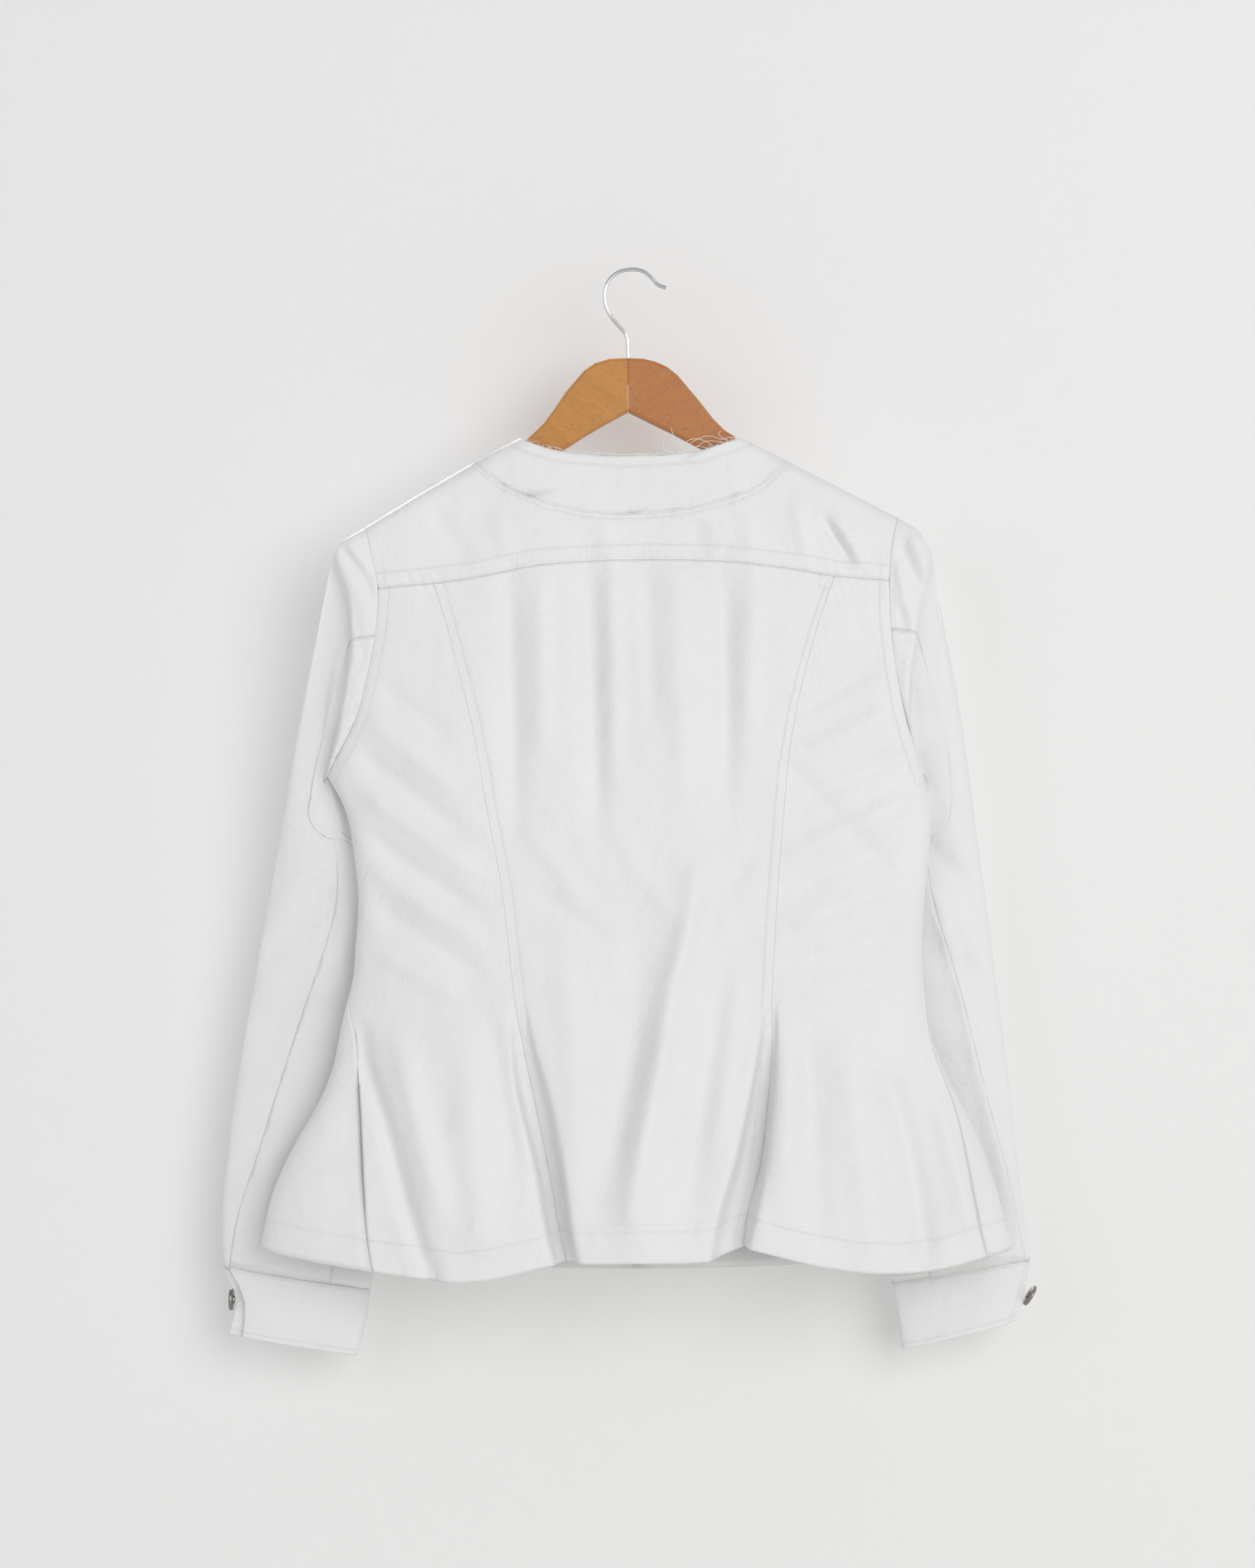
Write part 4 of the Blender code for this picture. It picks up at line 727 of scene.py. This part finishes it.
sateenLook = {
    "puckerReach": 0.0110,
    "grooveHalf": 0.0010,
    "grooveDepth": 0.00032,
    # painted shade: the stitch grooves get a darker grey blended into the cloth colour, standing in for the
    # shade that falls in them
    "paintedGrooveShadeShare": 0.10,
    "paintedGrooveShadeColour": (0.50, 0.49, 0.47),
    "darkTone": (0.735, 0.732, 0.728),
    "lightTone": (0.800, 0.802, 0.815),
    "crumple": 0.0020,
    "fineCrumple": 0.00028,
    "pucker": 0.0009,
    "weave": 0.00006,
}


def sateen(name, grooves, pucker):
    cloth = Finish(name)
    seams = cloth.add("ShaderNodeAttribute", {"attribute_name": "seams"}, output=1)
    split = cloth.tree.nodes.new("ShaderNodeSeparateXYZ")
    cloth.feed(split, {"Vector": seams})
    distances = [Signal(cloth, output) for output in split.outputs]
    groove = 0.0
    nearSeam = 0.0
    for distance, row in zip(distances, grooves):
        nearSeam = nearSeam + 1 / (1 + (distance / sateenLook["puckerReach"]) ** 4)
        if row < 0.5:
            groove = groove + 1 / (1 + ((distance - row) / sateenLook["grooveHalf"]) ** 2)
    alongX = cloth.noise(cloth.stretched((95, 95, 30)), 1.0, 2.0, 0.5, 0.5)
    alongZ = cloth.noise(cloth.stretched((30, 95, 95)), 1.0, 2.0, 0.5, 0.5)
    ripple = (alongX + alongZ - 1.0) * nearSeam
    crumple = cloth.noise(cloth.stretched((34, 34, 24), (0.0, 0.5, 0.0)), 1.0, 5.0, 0.58, 0.6)
    fineCrumple = cloth.noise(cloth.stretched((95, 95, 80)), 1.0, 4.0, 0.6, 0.8)
    weave = cloth.noise(cloth.stretched((2600, 2600, 900)), 1.0, 1.0, 0.5)
    height = crumple * sateenLook["crumple"] + fineCrumple * sateenLook["fineCrumple"]
    height = height + ripple * (sateenLook["pucker"] * pucker)
    if not isinstance(groove, float):
        height = height - groove * sateenLook["grooveDepth"]
    shape = cloth.bump(height, 1.0, 1.0)
    surface = cloth.bump(weave, sateenLook["weave"], 0.5, shape)
    mottle = cloth.noise(cloth.stretched((11, 11, 8)), 1.0, 4.0, 0.6)
    tint = cloth.blend(mottle, colour(*sateenLook["darkTone"]), colour(*sateenLook["lightTone"]))
    # painted shade: darken the cloth colour along the stitch grooves, as shade in the recess
    if not isinstance(groove, float):
        tint = cloth.blend(groove * sateenLook["paintedGrooveShadeShare"], tint, colour(*sateenLook["paintedGrooveShadeColour"]))
    cloth.feed(cloth.shader, {
        "Base Color": tint,
        "Roughness": 0.50 + mottle * 0.12,
        "Normal": surface,
        "Sheen Weight": 0.22,
        "Sheen Roughness": 0.45,
        "Specular IOR Level": 0.34,
    })
    return cloth.material


clothPieces = {}
for name, sizes in clothSizes.items():
    thing = clothShell(name)
    layFolds(thing, name)
    storeDistances(thing, seamLines[name])
    thing.data.materials.append(sateen(name + "Sateen", *stitchGrooves[name]))
    thing.data.shade_smooth()
    thing.data.set_sharp_from_angle(angle=math.radians(clothMaking["sharpAngle"]))
    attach(thing, "root")
    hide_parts(name)
    clothPieces[name] = thing
    print("cloth", name, len(thing.data.polygons))


stitching = {
    "length": 0.0021,
    "pitch": 0.0029,
    "halfThickness": 0.00022,
    "threadColour": (0.74, 0.735, 0.72),
    "lightThreadColour": (0.80, 0.795, 0.78),
    "lift": 0.00008,
    "steepest": 0.25,
}


def surfaceOf(names):
    bm = bmesh.new()
    for name in names:
        bm.from_mesh(clothPieces[name].data)
    tree = BVHTree.FromBMesh(bm)
    bm.free()
    return tree


backSurface = surfaceOf(["back_yoke", "neck_band_back", "back_centre", "back_side_left", "back_side_right"])
frontSurface = surfaceOf(["front_left", "front_right", "neck_band_front_left", "neck_band_front_right",
                          "front_placket"])
sleeveSurface = surfaceOf([name for name in clothPieces if name.startswith(("sleeve", "cuff"))])


def ontoCloth(tree, x, z, fromBehind):
    start = Vector((x, -0.3 if fromBehind else 0.3, z))
    step = Vector((0, 1 if fromBehind else -1, 0))
    place, normal, _, _ = tree.ray_cast(start, step)
    if place is None:
        return None, None
    if normal.dot(step) > 0:
        normal = -normal
    return place, normal


def walkLine(line, pitch):
    carried = pitch * 0.5
    for (ax, az), (bx, bz) in zip(line, line[1:]):
        length = math.hypot(bx - ax, bz - az)
        while carried < length:
            share = carried / length
            yield ax + (bx - ax) * share, az + (bz - az) * share, (bx - ax) / length, (bz - az) / length
            carried += pitch
        carried -= length


def stitchRows(name, tree, lines, fromBehind=True):
    bm = bmesh.new()
    for line in lines:
        for x, z, dx, dz in walkLine(line, stitching["pitch"]):
            place, normal = ontoCloth(tree, x, z, fromBehind)
            if place is None or abs(normal.y) < stitching["steepest"]:
                continue
            run = Vector((dx, 0, dz))
            run = (run - normal * run.dot(normal)).normalized()
            turn = Matrix((run, normal.cross(run), normal)).transposed().to_4x4()
            size = Matrix.Diagonal((stitching["length"] / 2, stitching["halfThickness"],
                                    stitching["halfThickness"] * 1.3, 1.0))
            spot = Matrix.Translation(place + normal * stitching["lift"])
            bmesh.ops.create_icosphere(bm, subdivisions=1, radius=1.0, matrix=spot @ turn @ size)
    mesh = bpy.data.meshes.new(name)
    bm.to_mesh(mesh)
    bm.free()
    mesh.shade_smooth()
    thing = bpy.data.objects.new(name, mesh)
    scene.collection.objects.link(thing)
    mesh.materials.append(threadFinish)
    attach(thing, "root")
    return thing


def makeThread():
    thread = Finish("cottonThread")
    twist = thread.noise(thread.stretched((900, 900, 900)), 1.0, 2.0)
    thread.feed(thread.shader, {
        "Base Color": thread.blend(twist, colour(*stitching["threadColour"]),
                                   colour(*stitching["lightThreadColour"])),
        "Roughness": 0.55 + twist * 0.2,
        "Normal": thread.bump(twist, 0.0001, 0.5),
    })
    return thread.material


threadFinish = makeThread()
princessTop = [row for row in princessSeams if row[0] > -0.56]
bodyRows = [
    lineFrom(princessTop, 1, 0.0075), lineFrom(princessTop, 2, -0.0075),
    offsetLine(yokeSeam, 0.0020), offsetLine(yokeSeam, 0.0115),
    lineFrom(sideEdges[1:8], 1, 0.0075), lineFrom(sideEdges[1:8], 2, -0.0075),
    offsetLine([p for p in hemLine if p[0] < -0.06], 0.0230),
    offsetLine([p for p in hemLine if -0.06 < p[0] < 0.08], 0.0290),
    offsetLine([p for p in hemLine if p[0] > 0.08], 0.0230),
]
neckRows = [
    offsetLine(neckRawEdge, -0.0072), offsetLine(neckRawEdge, -0.0090),
    offsetLine(neckSewnEdge, 0.0016), offsetLine(neckSewnEdge, -0.0026),
]
frontRows = [
    offsetLine(frontRawEdge, -0.0078), offsetLine(mirroredRaw, -0.0078),
    offsetLine(frontSewnEdge, 0.0018), offsetLine(mirroredSewn, 0.0018),
    ((-0.0195, -0.2280), (-0.0195, -0.7500)), ((0.0195, -0.2280), (0.0195, -0.7500)),
    lineFrom(sideEdges[1:8], 1, 0.0075), lineFrom(sideEdges[1:8], 2, -0.0075),
    ((-0.2700, -0.7150), (-0.1800, -0.7230), (-0.0900, -0.7290), (-0.0240, -0.7305)),
    ((0.0240, -0.7305), (0.0900, -0.7290), (0.1800, -0.7230), (0.2700, -0.7150)),
]
bodyStitches = stitchRows("body_topstitching", backSurface, bodyRows)
neckStitches = stitchRows("neck_topstitching", backSurface, neckRows)
frontStitches = stitchRows("front_topstitching", frontSurface, frontRows, fromBehind=False)
cuffRows = [offsetLine(leftCuffSeam, -0.0022), offsetLine(rightCuffSeam, 0.0022),
            ((-0.3060, -0.8010), (-0.2110, -0.8165)), ((0.2930, -0.7905), (0.2070, -0.8120))]
cuffStitches = stitchRows("cuff_topstitching", sleeveSurface, cuffRows)
print("stitches ready")


fraying = {
    "shortThreads": 240,
    "thickness": 0.00018,
    "shortDepth": -0.0118,
    "shortest": 0.0012,
    "longerBy": 0.0035,
    "looseDepth": -0.0122,
    "looseLift": 0.0016,
    "stepsToPoint": 6,
}


# places (x, z) along each long loose thread
looseThreads = (
    ((0.0790, -0.1275), (0.0730, -0.1262), (0.0660, -0.1278), (0.0590, -0.1255),
     (0.0520, -0.1262), (0.0440, -0.1300), (0.0400, -0.1345)),
    ((0.0620, -0.1345), (0.0560, -0.1300), (0.0480, -0.1275),
     (0.0410, -0.1290), (0.0385, -0.1340), (0.0420, -0.1375)),
    ((0.0500, -0.1370), (0.0400, -0.1350), (0.0330, -0.1300), (0.0300, -0.1240), (0.0285, -0.1190)),
    ((0.0420, -0.1372), (0.0350, -0.1340), (0.0300, -0.1300), (0.0285, -0.1260)),
    ((0.0380, -0.1378), (0.0280, -0.1375), (0.0210, -0.1345), (0.0180, -0.1310)),
    ((0.0330, -0.1382), (0.0260, -0.1360), (0.0225, -0.1320), (0.0230, -0.1290)),
    ((0.0560, -0.1350), (0.0500, -0.1330), (0.0440, -0.1345), (0.0380, -0.1378)),
    ((0.0720, -0.1290), (0.0660, -0.1262), (0.0640, -0.1235), (0.0660, -0.1215)),
    ((0.0680, -0.1305), (0.0600, -0.1290), (0.0530, -0.1300), (0.0470, -0.1340)),
    ((-0.0500, -0.1385), (-0.0350, -0.1378), (-0.0200, -0.1394), (-0.0050, -0.1390), (0.0120, -0.1396)),
    ((-0.0420, -0.1392), (-0.0250, -0.1380), (-0.0100, -0.1398), (0.0100, -0.1386), (0.0300, -0.1392)),
    ((0.0000, -0.1404), (0.0100, -0.1384), (0.0220, -0.1392), (0.0330, -0.1378)),
    ((-0.0660, -0.1345), (-0.0600, -0.1335), (-0.0540, -0.1352), (-0.0480, -0.1368)),
)


def strand(curve, points, thickness):
    spline = curve.splines.new("POLY")
    spline.points.add(len(points) - 1)
    for target, point in zip(spline.points, points):
        target.co = (*point, 1.0)
        target.radius = thickness / fraying["thickness"]


def looseCourse(route):
    points = []
    last = (len(route) - 1) * fraying["stepsToPoint"]
    for step in range(last + 1):
        share = step / last
        place = share * (len(route) - 1)
        first = min(int(place), len(route) - 2)
        t = place - first
        before, start = route[max(first - 1, 0)], route[first]
        end, after = route[first + 1], route[min(first + 2, len(route) - 1)]
        x, z = [
            0.5 * (2 * start[k] + (end[k] - before[k]) * t
                   + (2 * before[k] - 5 * start[k] + 4 * end[k] - after[k]) * t * t
                   + (3 * start[k] - before[k] - 3 * end[k] + after[k]) * t * t * t)
            for k in range(2)
        ]
        points.append(Vector((x, fraying["looseDepth"] - fraying["looseLift"] * math.sin(math.pi * share), z)))
    return points


def frayNeck():
    curve = bpy.data.curves.new("neckFraying", "CURVE")
    curve.dimensions = "3D"
    curve.bevel_depth = fraying["thickness"]
    curve.bevel_resolution = 1
    edgeStart, edgeEnd = neckRawEdge[0][0] + 0.004, neckRawEdge[-1][0] - 0.004
    for n in range(fraying["shortThreads"]):
        x = edgeStart + (edgeEnd - edgeStart) * random.random()
        z = between(neckRawEdge, x)
        y = fraying["shortDepth"]
        length = fraying["shortest"] + fraying["longerBy"] * random.random() ** 2
        lean = random.uniform(-1.2, 1.2)
        bend = random.uniform(-0.9, 0.9)
        points = [Vector((x, y, z - 0.0012))]
        for step in range(1, 6):
            share = step / 5
            points.append(Vector((
                x + length * share * math.sin(lean + bend * share),
                y - 0.0004 * share - 0.0008 * share * random.random(),
                z - 0.0004 + length * share * math.cos(lean + bend * share) * 0.8,
            )))
        strand(curve, points, fraying["thickness"] * random.uniform(0.6, 1.1))
    for route in looseThreads:
        strand(curve, looseCourse(route), fraying["thickness"] * 1.1)
    thing = bpy.data.objects.new("neck_fraying", curve)
    scene.collection.objects.link(thing)
    curve.materials.append(threadFinish)
    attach(thing, "root")
    return thing


neckFraying = frayNeck()
print("fraying ready")


button = {
    "sides": 40,
    "sharpAngle": 50,
    "darkTone": (0.16, 0.15, 0.14),
    "lightTone": (0.42, 0.40, 0.38),
    "cuffs": {
        "cuff_button_left": ((-0.3032, 0.0320, -0.7787), (-1, 0, 0)),
        "cuff_button_right": ((0.3001, 0.0320, -0.7744), (0.85, 0, -0.5)),
    },
    "profile": (
        (0.0000, 0.0036), (0.0012, 0.0035), (0.0030, 0.0031), (0.0046, 0.0030), (0.0060, 0.0034),
        (0.0072, 0.0039), (0.0079, 0.0040), (0.0084, 0.0036), (0.0085, 0.0028), (0.0083, 0.0018),
        (0.0076, 0.0012), (0.0050, 0.0012), (0.0034, 0.0011), (0.0030, 0.0001), (0.0000, 0.0001),
    ),
}


def darkMetal():
    metal = Finish("darkMetal")
    wear = metal.noise(metal.stretched((400, 400, 400)), 1.0, 4.0, 0.6)
    metal.feed(metal.shader, {
        "Base Color": metal.blend(wear, colour(*button["darkTone"]), colour(*button["lightTone"])),
        "Metallic": 1.0,
        "Roughness": 0.22 + wear * 0.25,
        "Normal": metal.bump(wear, 0.00008, 0.4),
    })
    return metal.material


buttonFinish = darkMetal()


def turnButton(name, place, axis):
    bm = bmesh.new()
    verts = [bm.verts.new((r, 0.0, h)) for r, h in button["profile"]]
    edges = [bm.edges.new(pair) for pair in zip(verts, verts[1:])]
    bmesh.ops.spin(bm, geom=verts + edges, cent=(0, 0, 0), axis=(0, 0, 1), angle=2 * math.pi,
                   steps=button["sides"], use_merge=True)
    bmesh.ops.remove_doubles(bm, verts=bm.verts, dist=clothMaking["weldDistance"])
    bmesh.ops.recalc_face_normals(bm, faces=bm.faces)
    turn = Vector(axis).to_track_quat("Z", "Y").to_matrix().to_4x4()
    bmesh.ops.transform(bm, matrix=Matrix.Translation(place) @ turn, verts=bm.verts)
    mesh = bpy.data.meshes.new(name)
    bm.to_mesh(mesh)
    bm.free()
    mesh.shade_smooth()
    mesh.set_sharp_from_angle(angle=math.radians(button["sharpAngle"]))
    mesh.materials.append(buttonFinish)
    thing = bpy.data.objects.new(name + "_turned", mesh)
    scene.collection.objects.link(thing)
    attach(thing, "root")
    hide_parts(name)


for number in range(1, 7):
    low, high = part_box(f"front_button_{number}")
    turnButton(f"front_button_{number}", (0.0, low[1], (low[2] + high[2]) / 2), (0, 1, 0))
for name, (place, axis) in button["cuffs"].items():
    turnButton(name, place, axis)
print("buttons ready")


hanger = {
    "leftDark": (0.385, 0.150, 0.020), "leftLight": (0.60, 0.265, 0.050),
    "rightDark": (0.330, 0.110, 0.018), "rightLight": (0.52, 0.195, 0.042),
    "armSlope": 0.62,
    "fleckShade": 0.55,
    "wireDark": (0.50, 0.50, 0.50), "wireLight": (0.72, 0.72, 0.73),
}


def varnishedWood(name, dark, light, turn):
    wood = Finish(name)
    fibres = wood.noise(wood.stretched((22, 420, 420), (0.0, turn, 0.0)), 1.0, 5.0, 0.65, 0.3)
    flecks = wood.noise(wood.stretched((260, 1900, 1900), (0.0, turn, 0.0)), 1.0, 2.0, 0.5)
    speck = wood.add("ShaderNodeValToRGB", {"stops": (
        (0.0, (0, 0, 0)), (0.61, (0, 0, 0)), (0.70, (1, 1, 1)))}, {"Fac": flecks})
    rings = wood.noise(wood.stretched((9, 110, 110), (0.0, turn, 0.0)), 1.0, 2.0)
    body = wood.blend(fibres * 0.7 + rings * 0.3, colour(*dark), colour(*light))
    tint = wood.blend(speck * hanger["fleckShade"], body, colour(dark[0] * 0.35, dark[1] * 0.3, dark[2] * 0.3))
    wood.feed(wood.shader, {
        "Base Color": tint,
        "Roughness": 0.36 + fibres * 0.12,
        "Normal": wood.bump(fibres, 0.0003, 0.25),
        "Coat Weight": 0.45,
        "Coat Roughness": 0.22,
    })
    return wood.material


def platedWire():
    wire = Finish("platedWire")
    scratches = wire.noise(wire.stretched((600, 600, 160)), 1.0, 3.0, 0.6)
    wire.feed(wire.shader, {
        "Base Color": wire.blend(scratches, colour(*hanger["wireDark"]), colour(*hanger["wireLight"])),
        "Metallic": 1.0,
        "Roughness": 0.20 + scratches * 0.16,
        "Normal": wire.bump(scratches, 0.00005, 0.3),
    })
    return wire.material


hangerFinishes = {
    "hanger_arm_left": varnishedWood("leftArmWood", hanger["leftDark"], hanger["leftLight"],
                                     hanger["armSlope"]),
    "hanger_arm_right": varnishedWood("rightArmWood", hanger["rightDark"], hanger["rightLight"],
                                      -hanger["armSlope"]),
    "hanger_hook": platedWire(),
}
for name, finish in hangerFinishes.items():
    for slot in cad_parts[name].material_slots:
        slot.material = finish
print("hanger ready")
